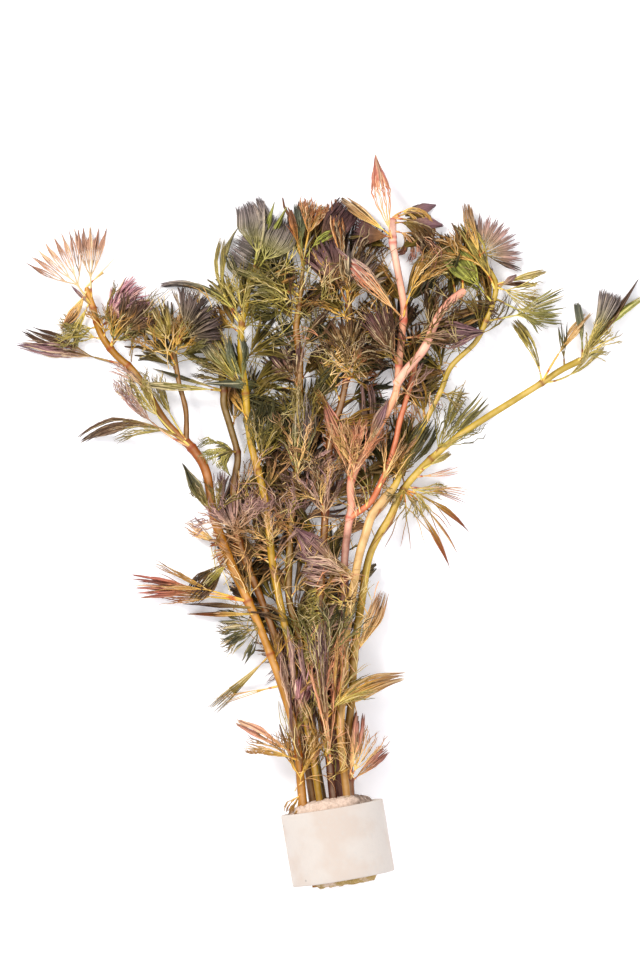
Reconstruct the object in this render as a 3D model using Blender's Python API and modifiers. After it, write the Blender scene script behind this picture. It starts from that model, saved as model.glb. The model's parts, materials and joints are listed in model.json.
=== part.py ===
# A bunch of fanwort lying on a table, its stems wrapped in foam and pushed through a ceramic ring.
# Units are metres. X runs across the bunch, Y from the ring to the tips, Z up from the table.
# Routes and leaves are laid out in millimetres from the ring's centre, and then the whole bunch
# is moved so that its origin is under the middle of its footprint.

import math

import bmesh
import bpy
import numpy as np
from mathutils import Matrix, Vector

MM = 0.001
GAP = 0.3  # between pieces that touch, mm

RING_DIAMETER = 30.0
RING_WALL = 2.2
RING_HEIGHT = 21.0
RING_CHAMFER = 0.4
RING_SEGMENTS = 48
RING_LEAN = math.radians(9.5)  # the ring points a little to the left of the bunch

FOAM_SLOT_WIDTH = 17.8  # the flattened bundle of stems goes through a slot in the foam
FOAM_SLOT_HEIGHT = 8.4
FOAM_SLOT_ROUNDING = 3.2
FOAM_SLOT_SHIFT = -1.1  # of the slot, to the left of the ring's axis
FOAM_SLOT_RISE = 0.8
FOAM_OUT_TOP = 2.3  # how far the foam stands out of the ring on the side of the tips
FOAM_OUT_BOTTOM = 2.4
FOAM_ROUNDING = 1.0
FOAM_SEGMENTS = 32
STEM_START = 11.5  # how far below the ring's centre the cut ends lie, along its axis

STEM_DIAMETER = 2.2
BRANCH_DIAMETER = 2.0
STEM_STEP = 9.0  # between the points of a stem's tube, mm

LEAF_THICKNESS = 0.5
PETIOLE_WIDTH = 1.3
PETIOLE_SHARE = 0.2  # of the leaf's length
SPLIT_SHARE = 0.58  # where the lobes part, as a share of the leaf's length
LOBE_TAPER = 0.8  # width of a lobe halfway from its split to its tip
LOBE_CLOSING = 0.3  # how much a wet leaf's lobes draw together at their tips
SAG_POWER = 1.6  # a leaf starts level and bends down to the table at its tip
LEAF_ROWS = 4  # of faces, from the base to the tips
SPLIT_ROW = 2  # the row that the lobes part at
MERGE_DISTANCE = 0.01  # for the two sides of a lobe that meet at its tip, mm
CELL = 0.5  # of the height map that the leaves are laid on, mm

# Stem routes, from the foam to the tip: across, along and height of the centre line, mm.
STEMS = {
    "left_stem": (
        (-10, 11, 17.4), (-12, 30, 16.8), (-16, 45, 15.2), (-22, 61, 12.8), (-26, 70, 11.4),
        (-31, 81, 10.4), (-36, 95, 9.4), (-38, 107, 8.6), (-42, 114, 8.0), (-50, 122, 7.2),
        (-58, 135, 6.6), (-65, 142, 6.2), (-69, 148, 5.8), (-71, 155, 5.6), (-73, 161, 5.4),
    ),
    "amber_stem": (
        (-7, 11, 13.4), (-10, 29, 13.2), (-14, 44, 12.0), (-18, 59, 10.0), (-22, 70, 8.8),
        (-28, 85, 7.8), (-30, 95, 7.4), (-30, 104, 7.0), (-29, 112, 6.8), (-31, 120, 6.6),
        (-33, 127, 6.4), (-33, 131, 6.2), (-34, 138, 6.0),
    ),
    "yellow_stem": (
        (-5, 11, 17.8), (-8, 30, 17.0), (-11, 42, 15.8), (-14, 57, 13.6), (-17, 71, 12.0),
        (-19, 82, 11.2), (-21, 99, 10.2), (-25, 115, 9.4), (-26, 123, 9.0), (-27, 133, 8.6),
        (-28, 140, 8.2), (-28, 149, 7.8), (-27, 154, 7.4), (-26, 160, 7.0), (-25, 164, 6.8),
    ),
    "olive_stem": (
        (-4, 11, 13.6), (-7, 29, 13.2), (-8, 44, 12.0), (-11, 59, 10.4), (-14, 70, 9.2),
        (-14, 82, 8.4), (-13, 99, 7.6), (-10, 120, 7.0), (-11, 129, 6.8), (-11, 140, 6.6),
        (-12, 149, 6.4), (-11, 157, 6.2), (-10, 167, 6.0),
    ),
    "brown_stem": (
        (-1, 11, 18.0), (-3, 30, 17.2), (-5, 45, 15.8), (-5, 59, 14.0), (-5, 73, 12.6),
        (-4, 88, 11.4), (-3, 105, 10.2), (-2, 117, 9.6), (1, 127, 9.2), (3, 137, 8.8),
        (4, 147, 8.2), (3, 157, 7.8),
    ),
    "pink_stem": (
        (1, 11, 13.8), (-1, 29, 13.4), (-1, 41, 12.8), (0, 56, 12.2), (2, 70, 12.0), (2, 81, 12.0),
        (3, 91, 12.0), (4, 97, 12.0), (4, 105, 12.0), (9, 115, 11.8), (14, 124, 11.6),
        (17, 131, 11.4), (18, 141, 11.2), (19, 151, 11.0), (19, 157, 10.8), (17, 168, 10.4),
        (16, 174, 10.2), (16, 181, 10.0),
    ),
    "lime_stem": (
        (3, 11, 18.0), (1, 30, 16.8), (1, 39, 16.0), (2, 48, 15.2), (2, 57, 14.8), (4, 70, 14.6),
        (6, 82, 14.4), (8, 89, 14.0), (10, 95, 13.2), (13, 99, 12.4), (17, 104, 11.4),
        (20, 112, 10.4), (25, 121, 9.6), (30, 131, 8.8), (33, 138, 8.4), (40, 145, 7.8),
        (43, 151, 7.4), (45, 156, 7.0), (46, 162, 6.8), (43, 167, 6.6), (40, 170, 6.4),
    ),
    "right_stem": (
        (4, 11, 14.2), (3, 29, 13.4), (4, 41, 12.6), (5, 56, 11.6), (7, 70, 10.8), (9, 82, 10.2),
        (12, 89, 9.8), (15, 94, 9.4), (19, 102, 9.0), (23, 107, 8.6), (27, 111, 8.2),
        (34, 117, 7.8), (43, 123, 7.2), (51, 128, 6.8), (59, 133, 6.4), (65, 137, 6.0),
        (71, 140, 5.6),
    ),
}
# Side branches, from just clear of the stem that carries them.
BRANCHES = {
    "left_fork": ((-43, 117, 9.6), (-44, 125, 8.4), (-46, 133, 7.4), (-47, 139, 6.8), (-48, 145, 6.4)),
    "pink_fork": (
        (17, 133, 13.6), (20, 137, 13.0), (25, 143, 12.4), (29, 152, 11.4), (33, 157, 10.8),
        (37, 160, 10.4),
    ),
    "rose_branch": (
        (4, 94, 14.6), (9, 98, 13.8), (12, 103, 12.6), (15, 110, 11.2), (17, 117, 10.0),
        (18, 122, 9.4), (21, 132, 8.8), (22, 136, 8.6), (23, 142, 8.4),
    ),
}

# Leaf mats that lie under the stems, on the table. Each has its name, the stem that carries it,
# its base and the end of its middle lobe (across and along, mm), the angle that its lobes spread
# over and the angle that it bends through (degrees), and each lobe's length against the middle's,
# from right to left as seen from the base.
LEAVES_UNDER = (
    ("left_wet_brush", "left_stem", (-61, 138), (-94, 146), 30, 0, (0.65, 0.8, 1, 1)),
    ("left_long_spikes", "left_stem", (-20, 54), (-38, 38), 56, 0, (0.58, 0.62, 1)),
    ("lime_mid_fan", "lime_stem", (30, 131), (40, 126), 70, 0, (0.9, 1, 1, 0.9)),
    ("right_down_fan", "right_stem", (20, 103), (39, 97), 92, 0, (1.15, 1.1, 1.05, 1, 1, 0.98, 1)),
)
# Leaf mats that lie over the stems, from the lowest to the highest.
LEAVES_OVER = (
    ("left_tip_fan", "left_stem", (-72, 159), (-79, 177), 82, 0, (0.9, 0.95, 0.95, 1, 1, 1, 0.95)),
    ("right_tip_fan", "right_stem", (68, 139), (86, 160), 62, 0, (0.35, 0.5, 0.93, 1, 0.9, 0.55)),
    ("right_back_fan", "right_stem", (59, 133), (61, 155), 84, 0, (0.8, 0.8, 0.95, 1, 0.9)),
    ("yellow_pale_brush", "yellow_stem", (-28, 151), (-51, 162), 12, 56, (0.9, 0.97, 1)),
    ("yellow_hook_fan", "yellow_stem", (-27, 154), (-36, 174), 40, 16, (0.8, 0.95, 1, 0.8)),
    ("yellow_tip_fan", "yellow_stem", (-25, 163), (-26, 186), 42, 0, (0.85, 1, 1, 1, 0.9)),
    ("yellow_grey_fan", "yellow_stem", (-27, 132), (-40, 149), 52, 0, (0.85, 0.85, 0.9, 1, 1)),
    ("fork_dark_fan", "left_fork", (-48, 143), (-38, 157), 90, 0, (0.9, 1, 1, 1, 0.9, 0.8)),
    ("fork_mauve_fan", "left_fork", (-47, 138), (-61, 160), 48, 0, (0.8, 0.95, 1, 1, 0.95)),
    ("left_inner_fan", "left_stem", (-66, 143), (-57, 158), 60, 0, (0.8, 0.9, 1, 1, 0.9)),
    ("left_net", "left_stem", (-50, 122), (-66, 135), 66, 0, (0.7, 0.9, 1, 1, 0.8)),
    ("left_low_brush", "left_stem", (-44, 115), (-76, 116), 16, 50, (0.85, 0.95, 1)),
    ("amber_side_brush", "amber_stem", (-33, 131), (-56, 133), 10, 0, (0.9, 1, 0.95)),
    ("olive_grey_fan", "olive_stem", (-10, 167), (-21, 183), 52, 0, (0.85, 0.95, 1, 1, 1, 0.9)),
    ("olive_orange_fan", "olive_stem", (-10, 167), (-6, 187), 56, 0, (0.85, 0.95, 1, 1, 1, 0.95)),
    ("brown_tip_fan", "brown_stem", (3, 157), (4, 183), 52, 0, (1, 1, 0.95, 0.8, 0.75)),
    ("olive_thread_fan", "olive_stem", (-11, 156), (-27, 162), 60, 0, (0.9, 1, 1, 0.95, 0.8)),
    ("brown_mauve_fan", "brown_stem", (2, 155), (-5, 174), 44, 0, (0.8, 0.95, 1, 1, 0.9)),
    ("brown_net", "brown_stem", (2, 134), (4, 149), 80, 0, (0.8, 1, 1, 1, 0.8)),
    ("olive_column_brush", "olive_stem", (-12, 103), (-10, 131), 24, 0, (0.9, 1, 1, 0.9)),
    ("yellow_green_brush", "yellow_stem", (-23, 108), (-20, 130), 44, 0, (0.9, 1, 1, 0.8)),
    ("lime_right_brush", "lime_stem", (45, 162), (64, 162), 70, 0, (0.85, 1, 1, 0.8, 0.8)),
    ("lime_tooth_fan", "lime_stem", (40, 170), (45, 179), 130, 0, (1.3, 1.1, 0.9, 0.9, 1, 1.1, 1.4)),
    ("pink_olive_curl", "pink_stem", (16, 179), (29, 184), 56, -40, (0.75, 0.9, 1, 1, 0.95)),
    ("pink_pale_brush", "pink_stem", (16, 175), (1, 187), 14, 0, (0.9, 1, 0.9)),
    ("pink_top_brush", "pink_stem", (16, 174), (11, 200), 16, -10, (0.85, 0.95, 1, 0.92)),
    ("pink_dark_tuft", "pink_stem", (18, 138), (9, 157), 38, 0, (0.9, 1, 1, 0.85)),
    ("pink_arch_leaf", "pink_stem", (19, 151), (36, 171), 40, -62, (0.8, 0.9, 1, 1, 0.85)),
    ("pink_rose_brush", "pink_stem", (19, 152), (-1, 173), 18, 0, (0.85, 0.95, 1, 0.9)),
    ("pink_side_brush", "pink_stem", (19, 146), (43, 148), 18, 0, (0.85, 0.95, 1, 0.9)),
    ("pink_mid_fan", "pink_stem", (4, 105), (5, 125), 50, 0, (0.85, 1, 1, 1, 0.85)),
    ("brown_thread_fan", "brown_stem", (-3, 96), (-9, 114), 60, 0, (0.7, 1, 1, 1, 0.8)),
    ("amber_loop", "amber_stem", (-29, 113), (-40, 110), 60, 30, (0.8, 1, 1, 0.9)),
    ("left_spike_fan", "left_stem", (-35, 93), (-44, 110), 70, 0, (1, 0.95, 0.5, 0.5)),
    ("amber_mauve_fan", "amber_stem", (-29, 87), (-32, 103), 88, 0, (0.8, 0.95, 1, 1, 1, 0.9)),
    ("left_pink_brush", "left_stem", (-26, 70), (-61, 75), 34, 12, (0.62, 0.97, 1, 1, 0.55)),
    ("pink_low_brush", "pink_stem", (2, 78), (-13, 87), 56, 0, (0.9, 1, 1, 0.9, 0.9)),
    ("low_red_brush", "lime_stem", (2, 53), (12, 73), 22, 0, (0.85, 1, 1, 0.9)),
    ("low_left_brush", "left_stem", (-12, 24), (-29, 34), 30, 10, (0.8, 0.95, 1, 0.9)),
    ("low_corner_brush", "right_stem", (3, 18), (12, 34), 50, 0, (0.85, 0.95, 1, 0.95)),
    ("low_centre_fan", "brown_stem", (-5, 35), (-7, 66), 40, 0, (0.85, 1, 1, 0.9, 0.95)),
    ("low_right_brush", "brown_stem", (-5, 38), (20, 48), 14, -26, (0.9, 1, 0.9)),
)

COLOURS = {
    "ceramic_ring": (0.86, 0.81, 0.74),
    "foam": (0.72, 0.62, 0.42),
    "left_stem": (0.55, 0.30, 0.09),
    "amber_stem": (0.50, 0.33, 0.10),
    "yellow_stem": (0.62, 0.45, 0.08),
    "olive_stem": (0.33, 0.30, 0.10),
    "brown_stem": (0.30, 0.16, 0.08),
    "pink_stem": (0.78, 0.40, 0.33),
    "lime_stem": (0.68, 0.58, 0.22),
    "right_stem": (0.66, 0.55, 0.12),
    "left_fork": (0.50, 0.28, 0.09),
    "pink_fork": (0.75, 0.42, 0.32),
    "rose_branch": (0.70, 0.30, 0.18),
}
LEAF_PALETTE = {
    "fan": (0.27, 0.19, 0.17),
    "brush": (0.30, 0.24, 0.10),
    "net": (0.40, 0.32, 0.12),
    "other": (0.22, 0.22, 0.09),
}


def clear_scene():
    for obj in list(bpy.data.objects):
        bpy.data.objects.remove(obj)


def material(name, colour, roughness=0.6):
    made = bpy.data.materials.new(name)
    made.use_nodes = True
    shader = made.node_tree.nodes["Principled BSDF"]
    shader.inputs["Base Color"].default_value = (*colour, 1)
    shader.inputs["Roughness"].default_value = roughness
    return made


def placed(name, data, collection, parent, colour):
    """A new object that holds this mesh or curve, under the bunch's empty."""
    obj = bpy.data.objects.new(name, data)
    collection.objects.link(obj)
    obj.parent = parent
    data.materials.append(material(name, colour))
    return obj


# The holder: two turned shapes that lie on their side.

def ring_facet_height():
    """How high the ring's centre is when it lies on one of its flat facets."""
    return RING_DIAMETER / 2 * math.cos(math.pi / RING_SEGMENTS)


def lying(segments):
    """The place of a turned shape that lies on a facet with its axis along the bunch."""
    return (
        Matrix.Translation((0, 0, ring_facet_height() * MM))
        @ Matrix.Rotation(RING_LEAN, 4, "Z")
        @ Matrix.Rotation(-math.pi / 2, 4, "X")
        @ Matrix.Rotation(math.pi / segments, 4, "Z")
    )


def turned(name, profile, segments, collection, parent):
    """A closed profile of (radius, height) points in mm, turned about Z and laid on its side."""
    mesh = bpy.data.meshes.new(name)
    points = [(radius * MM, 0, height * MM) for radius, height in profile]
    edges = [(i, (i + 1) % len(points)) for i in range(len(points))]
    mesh.from_pydata(points, edges, [])
    obj = placed(name, mesh, collection, parent, COLOURS[name])
    obj.matrix_world = lying(segments)
    screw = obj.modifiers.new("Turn", "SCREW")
    screw.steps = segments
    screw.render_steps = segments
    screw.use_merge_vertices = True
    screw.merge_threshold = 0.00001
    mesh.shade_smooth()
    mesh.set_sharp_from_angle(angle=math.radians(30))
    return obj


def ring(collection, parent):
    outer = RING_DIAMETER / 2
    inner = outer - RING_WALL
    half = RING_HEIGHT / 2
    profile = (
        (outer - RING_CHAMFER, half),
        (outer, half - RING_CHAMFER),
        (outer, RING_CHAMFER - half),
        (outer - RING_CHAMFER, -half),
        (inner + RING_CHAMFER, -half),
        (inner, RING_CHAMFER - half),
        (inner, half - RING_CHAMFER),
        (inner + RING_CHAMFER, half),
    )
    turned("ceramic_ring", profile, RING_SEGMENTS, collection, parent)


def foam(collection, cutters, parent):
    outer = RING_DIAMETER / 2 - RING_WALL - GAP
    top = RING_HEIGHT / 2 + FOAM_OUT_TOP
    bottom = -RING_HEIGHT / 2 - FOAM_OUT_BOTTOM
    profile = (
        (outer - FOAM_ROUNDING, top),
        (outer, top - FOAM_ROUNDING),
        (outer, bottom + FOAM_ROUNDING),
        (outer - FOAM_ROUNDING, bottom),
        (0, bottom),
        (0, top),
    )
    plug = turned("foam", profile, FOAM_SEGMENTS, collection, parent)
    slot = plug.modifiers.new("Slot", "BOOLEAN")
    slot.operation = "DIFFERENCE"
    slot.object = slot_cutter(2 * RING_HEIGHT, cutters, parent)


def slot_cutter(length, cutters, parent):
    """A rounded bar through the foam, where the stems run."""
    bar = bmesh.new()
    bmesh.ops.create_cube(bar, size=MM)
    bmesh.ops.scale(bar, vec=(FOAM_SLOT_WIDTH, length, FOAM_SLOT_HEIGHT), verts=bar.verts)
    along = [edge for edge in bar.edges if abs((edge.verts[0].co - edge.verts[1].co).y) > MM]
    bmesh.ops.bevel(
        bar, geom=along, offset=FOAM_SLOT_ROUNDING * MM, segments=4, profile=0.5, affect="EDGES"
    )
    bmesh.ops.translate(
        bar, vec=(FOAM_SLOT_SHIFT * MM, 0, (ring_facet_height() + FOAM_SLOT_RISE) * MM), verts=bar.verts
    )
    bmesh.ops.rotate(bar, matrix=Matrix.Rotation(RING_LEAN, 3, "Z"), verts=bar.verts)
    mesh = bpy.data.meshes.new("foam_slot_cutter")
    bar.to_mesh(mesh)
    bar.free()
    cutter = bpy.data.objects.new("foam_slot_cutter", mesh)
    cutters.objects.link(cutter)
    cutter.parent = parent
    cutter.hide_render = True
    cutter.display_type = "WIRE"
    return cutter


# The stems: tubes along smooth routes.

def smooth_route(points, step):
    """Points about a step apart along a smooth curve through these points."""
    points = [Vector(point) for point in points]
    padded = [2 * points[0] - points[1], *points, 2 * points[-1] - points[-2]]
    fine = []
    for a, b, c, d in zip(padded, padded[1:], padded[2:], padded[3:]):
        for k in range(8):
            t = k / 8
            fine.append(
                0.5 * (2 * b + (c - a) * t + (2 * a - 5 * b + 4 * c - d) * t**2
                       + (3 * b - a - 3 * c + d) * t**3)
            )
    fine.append(points[-1])
    lengths = [0.0]
    for a, b in zip(fine, fine[1:]):
        lengths.append(lengths[-1] + (b - a).length)
    count = max(2, round(lengths[-1] / step))
    return [
        Vector(np.interp(lengths[-1] * i / count, lengths, [p[axis] for p in fine]) for axis in range(3))
        for i in range(count + 1)
    ]


def through_foam(route):
    """The route with its stretch through the foam put before it, from the cut end upwards."""
    axis = Vector((-math.sin(RING_LEAN), math.cos(RING_LEAN), 0))
    x, y, z = route[0]
    along = Vector((x, y, 0)).dot(axis)
    cut = Vector((x, y, z)) - axis * (along + STEM_START)
    middle = Vector((x, y, z)) - axis * (along + STEM_START) / 2
    return [cut, middle, *(Vector(point) for point in route)]


def tube(name, route, diameter, collection, parent):
    curve = bpy.data.curves.new(name, "CURVE")
    curve.dimensions = "3D"
    spline = curve.splines.new("POLY")
    spline.points.add(len(route) - 1)
    for point, place in zip(spline.points, route):
        point.co = (*(place * MM), 1)
    curve.bevel_depth = diameter / 2 * MM
    curve.bevel_resolution = 2
    curve.use_fill_caps = True
    return placed(name, curve, collection, parent, COLOURS[name])


# The leaves: flat fans of lobes, each laid over what is already there.

class Heap:
    """How high the bunch stands so far, over a grid of cells on the table."""

    def __init__(self, low, high):
        self.low = np.array(low, float)
        cells = np.ceil((np.array(high) - self.low) / CELL).astype(int)
        self.top = np.zeros(cells)

    def cells(self, points):
        index = ((points[:, :2] - self.low) / CELL).astype(int)
        return tuple(np.clip(index, 0, np.array(self.top.shape) - 1).T)

    def raise_to(self, points):
        np.maximum.at(self.top, self.cells(points), points[:, 2])

    def height(self, points):
        """The highest cell at or beside any of these points."""
        reach = [np.array((dx, dy)) * CELL for dx in (-1, 0, 1) for dy in (-1, 0, 1)]
        return max(self.top[self.cells(points[:, :2] + shift)].max() for shift in reach)

    def add_tube(self, route, diameter):
        for a, b in zip(route, route[1:]):
            steps = np.linspace(0, 1, max(2, int((b - a).length / (CELL / 2))))
            line = np.array(a) + steps[:, None] * np.array(b - a)
            for across in np.arange(-diameter / 2, diameter / 2 + 0.01, CELL / 2):
                for along in np.arange(-diameter / 2, diameter / 2 + 0.01, CELL / 2):
                    self.raise_to(line + (across, along, diameter / 2))


class Fan:
    """The outline of a leaf: where a point of it lies, by its share of the length and its angle."""

    def __init__(self, base, tip, spread, bend, lobes):
        chord = Vector(tip) - Vector(base)
        self.base = Vector(base)
        self.bend = math.radians(bend)
        half = self.bend / 2
        self.reach = chord.length * max(lobes)
        self.length = chord.length * (half / math.sin(half) if half else 1)
        self.heading = math.atan2(chord.y, chord.x) - half
        self.spread = math.radians(spread)
        self.lobes = lobes
        self.closing = LOBE_CLOSING if spread < 35 else 0
        self.split = min(SPLIT_SHARE, 0.8 * min(lobes))

    def place(self, out, across):
        """The point this far out along the bent middle line and this far across it, to the left."""
        turn = self.bend / self.length if self.bend else 0
        heading = self.heading + turn * out
        if turn:
            x = (math.sin(heading) - math.sin(self.heading)) / turn
            y = (math.cos(self.heading) - math.cos(heading)) / turn
        else:
            x, y = out * math.cos(heading), out * math.sin(heading)
        return self.base + Vector((x - across * math.sin(heading), y + across * math.cos(heading)))

    def corner(self, row, rows, lobe, side):
        """A corner of the mesh: its row from the base, its lobe, and -1 or 1 for the lobe's side."""
        count = len(self.lobes)
        step = self.spread / count
        middle = (lobe + 0.5) * step - self.spread / 2
        if row == 0:
            return self.place(0, PETIOLE_WIDTH * ((lobe + 0.5 + side / 2) / count - 0.5))
        if row <= SPLIT_ROW:
            share = PETIOLE_SHARE if row == 1 else self.split
            width = step
        else:
            past = (row - SPLIT_ROW) / (rows - SPLIT_ROW)
            share = self.split + (self.lobes[lobe] - self.split) * past
            width = step * (LOBE_TAPER if row < rows else 0)
        radius = share * self.length
        angle = (middle + side * width / 2) * (1 - self.closing * min(1, share) ** 2)
        out, across = radius * math.cos(angle), radius * math.sin(angle)
        if row == 1:
            least = PETIOLE_WIDTH * ((lobe + 0.5 + side / 2) / count - 0.5)
            across = least if abs(across) < abs(least) else across
        return self.place(out, across)


def leaf_sheet(fan, rows):
    """A flat sheet in the fan's outline, slit between its lobes, as a bmesh."""
    sheet = bmesh.new()
    count = len(fan.lobes)
    bmesh.ops.create_grid(sheet, x_segments=count, y_segments=rows, size=1)
    columns = sheet.verts.layers.int.new("column")
    ups = sheet.verts.layers.int.new("row")
    for vert in sheet.verts:
        vert[columns] = round((vert.co.x + 1) / 2 * count)
        vert[ups] = round((vert.co.y + 1) / 2 * rows)
    slits = []
    for edge in sheet.edges:
        first, second = edge.verts
        inside = 0 < first[columns] < count and first[columns] == second[columns]
        if inside and min(first[ups], second[ups]) >= SPLIT_ROW:
            slits.append(edge)
    bmesh.ops.split_edges(sheet, edges=slits)
    for vert in sheet.verts:
        lobe = min(corner[columns] for face in vert.link_faces for corner in face.verts)
        side = 1 if vert[columns] > lobe else -1
        vert.co = (*fan.corner(vert[ups], rows, lobe, side), 0)
    bmesh.ops.remove_doubles(sheet, verts=sheet.verts, dist=MERGE_DISTANCE)
    for face in sheet.faces:
        face.normal_update()
        if face.normal.z < 0:
            face.normal_flip()
    return sheet


def face_samples(corners):
    """Points over a face of three or four corners, less than a cell apart."""
    corners = [np.array(corner) for corner in corners]
    if len(corners) == 3:
        corners.append(corners[2])
    a, b, c, d = corners
    longest = max(np.linalg.norm(q - p) for p, q in ((a, b), (b, c), (c, d), (d, a)))
    steps = np.linspace(0, 1, int(longest / (CELL * 0.8)) + 2)
    u, v = np.meshgrid(steps, steps)
    u, v = u.reshape(-1, 1), v.reshape(-1, 1)
    return a * (1 - u) * (1 - v) + b * u * (1 - v) + c * u * v + d * (1 - u) * v


def lay(sheet, fan, heap, stem_height, under):
    """Bends the sheet down to the table, lifted clear of what lies below it, and adds it to the heap."""
    below = {}
    for face in sheet.faces:
        height = heap.height(face_samples([vert.co for vert in face.verts]))
        below[face] = height + GAP if height > 0 else 0
    for vert in sheet.verts:
        share = min(1, (vert.co.xy - fan.base).length / fan.reach)
        height = max(below[face] for face in vert.link_faces)
        if not under:
            vert.co.z = max(height, stem_height * (1 - share**SAG_POWER))
        elif share * fan.reach < PETIOLE_WIDTH:
            vert.co.z = stem_height - STEM_DIAMETER / 2 - GAP - LEAF_THICKNESS
        else:
            vert.co.z = height
    for face in sheet.faces:
        top = face_samples([vert.co for vert in face.verts])
        heap.raise_to(top + (0, 0, LEAF_THICKNESS))


def nearest_on(route, point):
    """The point of the route that is nearest to this one as seen from above."""
    best = None
    for a, b in zip(route, route[1:]):
        along = (b - a).xy
        share = max(0, min(1, (Vector(point) - a.xy).dot(along) / along.length_squared))
        found = a + (b - a) * share
        distance = (found.xy - Vector(point)).length
        if best is None or distance < best[0]:
            best = (distance, found)
    return best[1]


def leaf_colour(name):
    ending = name.rsplit("_", 1)[1]
    return LEAF_PALETTE.get(ending, LEAF_PALETTE["other"])


def leaf(entry, routes, heap, under, collection, parent):
    name, stem, base, tip, spread, bend, lobes = entry
    start = nearest_on(routes[stem], base)
    fan = Fan(start.xy, tip, spread, bend, lobes)
    sheet = leaf_sheet(fan, LEAF_ROWS)
    lay(sheet, fan, heap, start.z, under)
    for vert in sheet.verts:
        vert.co *= MM
    mesh = bpy.data.meshes.new(name)
    sheet.to_mesh(mesh)
    sheet.free()
    obj = placed(name, mesh, collection, parent, leaf_colour(name))
    solid = obj.modifiers.new("Thickness", "SOLIDIFY")
    solid.thickness = LEAF_THICKNESS * MM
    solid.offset = 1
    return obj


def centre_on_footprint(collection, parent):
    """Moves the bunch so that its origin is on the table, under the middle of its box."""
    bpy.context.view_layer.update()
    graph = bpy.context.evaluated_depsgraph_get()
    corners = []
    for obj in collection.objects:
        if obj.type == "EMPTY":
            continue
        evaluated = obj.evaluated_get(graph)
        mesh = evaluated.to_mesh()
        corners += [evaluated.matrix_world @ vert.co for vert in mesh.vertices]
        evaluated.to_mesh_clear()
    places = np.array(corners)
    low, high = places.min(axis=0), places.max(axis=0)
    parent.location = (-(low[0] + high[0]) / 2, -(low[1] + high[1]) / 2, -low[2])


def main():
    clear_scene()
    collection = bpy.data.collections.new("fanwort_bunch")
    cutters = bpy.data.collections.new("cutters")
    bpy.context.scene.collection.children.link(collection)
    bpy.context.scene.collection.children.link(cutters)
    parent = bpy.data.objects.new("bunch_origin", None)
    collection.objects.link(parent)

    ring(collection, parent)
    foam(collection, cutters, parent)

    heap = Heap(low=(-110, -30), high=(110, 220))
    routes = {}
    for name, points in STEMS.items():
        routes[name] = smooth_route(through_foam(points), STEM_STEP)
    for name, points in BRANCHES.items():
        routes[name] = smooth_route(points, STEM_STEP)

    for entry in LEAVES_UNDER:
        leaf(entry, routes, heap, True, collection, parent)
    for name, route in routes.items():
        diameter = STEM_DIAMETER if name in STEMS else BRANCH_DIAMETER
        tube(name, route, diameter, collection, parent)
        heap.add_tube(route, diameter)
    for entry in LEAVES_OVER:
        leaf(entry, routes, heap, False, collection, parent)

    centre_on_footprint(collection, parent)


main()
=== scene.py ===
import json
import math

import bmesh
import bpy
import numpy as np
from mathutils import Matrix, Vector, noise
from mathutils.bvhtree import BVHTree

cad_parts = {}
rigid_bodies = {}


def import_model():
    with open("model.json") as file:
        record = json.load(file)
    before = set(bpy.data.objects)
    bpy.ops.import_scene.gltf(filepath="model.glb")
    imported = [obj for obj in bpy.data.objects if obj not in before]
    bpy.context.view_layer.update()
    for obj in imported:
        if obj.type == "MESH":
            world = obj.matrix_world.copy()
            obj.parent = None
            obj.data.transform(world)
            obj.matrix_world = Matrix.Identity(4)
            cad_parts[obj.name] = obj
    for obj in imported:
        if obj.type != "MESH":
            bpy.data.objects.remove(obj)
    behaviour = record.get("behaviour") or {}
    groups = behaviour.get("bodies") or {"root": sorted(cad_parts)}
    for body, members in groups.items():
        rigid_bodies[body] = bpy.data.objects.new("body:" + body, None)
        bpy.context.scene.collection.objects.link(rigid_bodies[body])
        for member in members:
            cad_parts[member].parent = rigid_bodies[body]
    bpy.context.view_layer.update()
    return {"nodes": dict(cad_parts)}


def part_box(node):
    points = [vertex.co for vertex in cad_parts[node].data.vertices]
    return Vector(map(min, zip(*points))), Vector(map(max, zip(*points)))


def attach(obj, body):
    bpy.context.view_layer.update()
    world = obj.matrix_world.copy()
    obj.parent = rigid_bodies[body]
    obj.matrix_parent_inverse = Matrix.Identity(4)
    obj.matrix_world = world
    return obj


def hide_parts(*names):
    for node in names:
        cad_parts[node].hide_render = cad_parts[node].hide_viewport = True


# A bunch of fanwort that lies flat, held by a ceramic ring. Seen from above, as photographed.
# The bunch is laid out in millimetres from the middle of the ring, X across and Y towards the tips.

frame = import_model()
nodes = frame["nodes"]
mm = 0.001

ringLow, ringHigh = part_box("ceramic_ring")
ringMiddle = (ringLow + ringHigh) / 2
layoutStart = np.array((ringMiddle.x, ringMiddle.y, 0.0))


def toWorld(points):  # layout millimetres to metres in the shared frame
    return np.asarray(points, float) * mm + layoutStart


def tone(code):  # "#rrggbb" as a linear colour
    parts = [int(code[i:i + 2], 16) / 255 for i in (1, 3, 5)]
    return (*(p / 12.92 if p <= 0.04045 else ((p + 0.055) / 1.055) ** 2.4 for p in parts), 1.0)


# Shader maths: expressions on these wrapped sockets add their Math nodes.

class Wire:
    def __init__(self, tree, socket):
        self.tree = tree
        self.socket = socket

    def maths(self, operation, first, second):
        node = self.tree.nodes.new("ShaderNodeMath")
        node.operation = operation
        for place, value in zip(node.inputs, (first, second)):
            plug(self.tree, place, value)
        return Wire(self.tree, node.outputs[0])

    def __add__(self, other):
        return self.maths("ADD", self, other)

    def __radd__(self, other):
        return self.maths("ADD", other, self)

    def __sub__(self, other):
        return self.maths("SUBTRACT", self, other)

    def __rsub__(self, other):
        return self.maths("SUBTRACT", other, self)

    def __mul__(self, other):
        return self.maths("MULTIPLY", self, other)

    def __rmul__(self, other):
        return self.maths("MULTIPLY", other, self)


def plug(tree, place, value):
    if isinstance(value, Wire):
        tree.links.new(value.socket, place)
    elif value is not None:
        place.default_value = value


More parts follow.
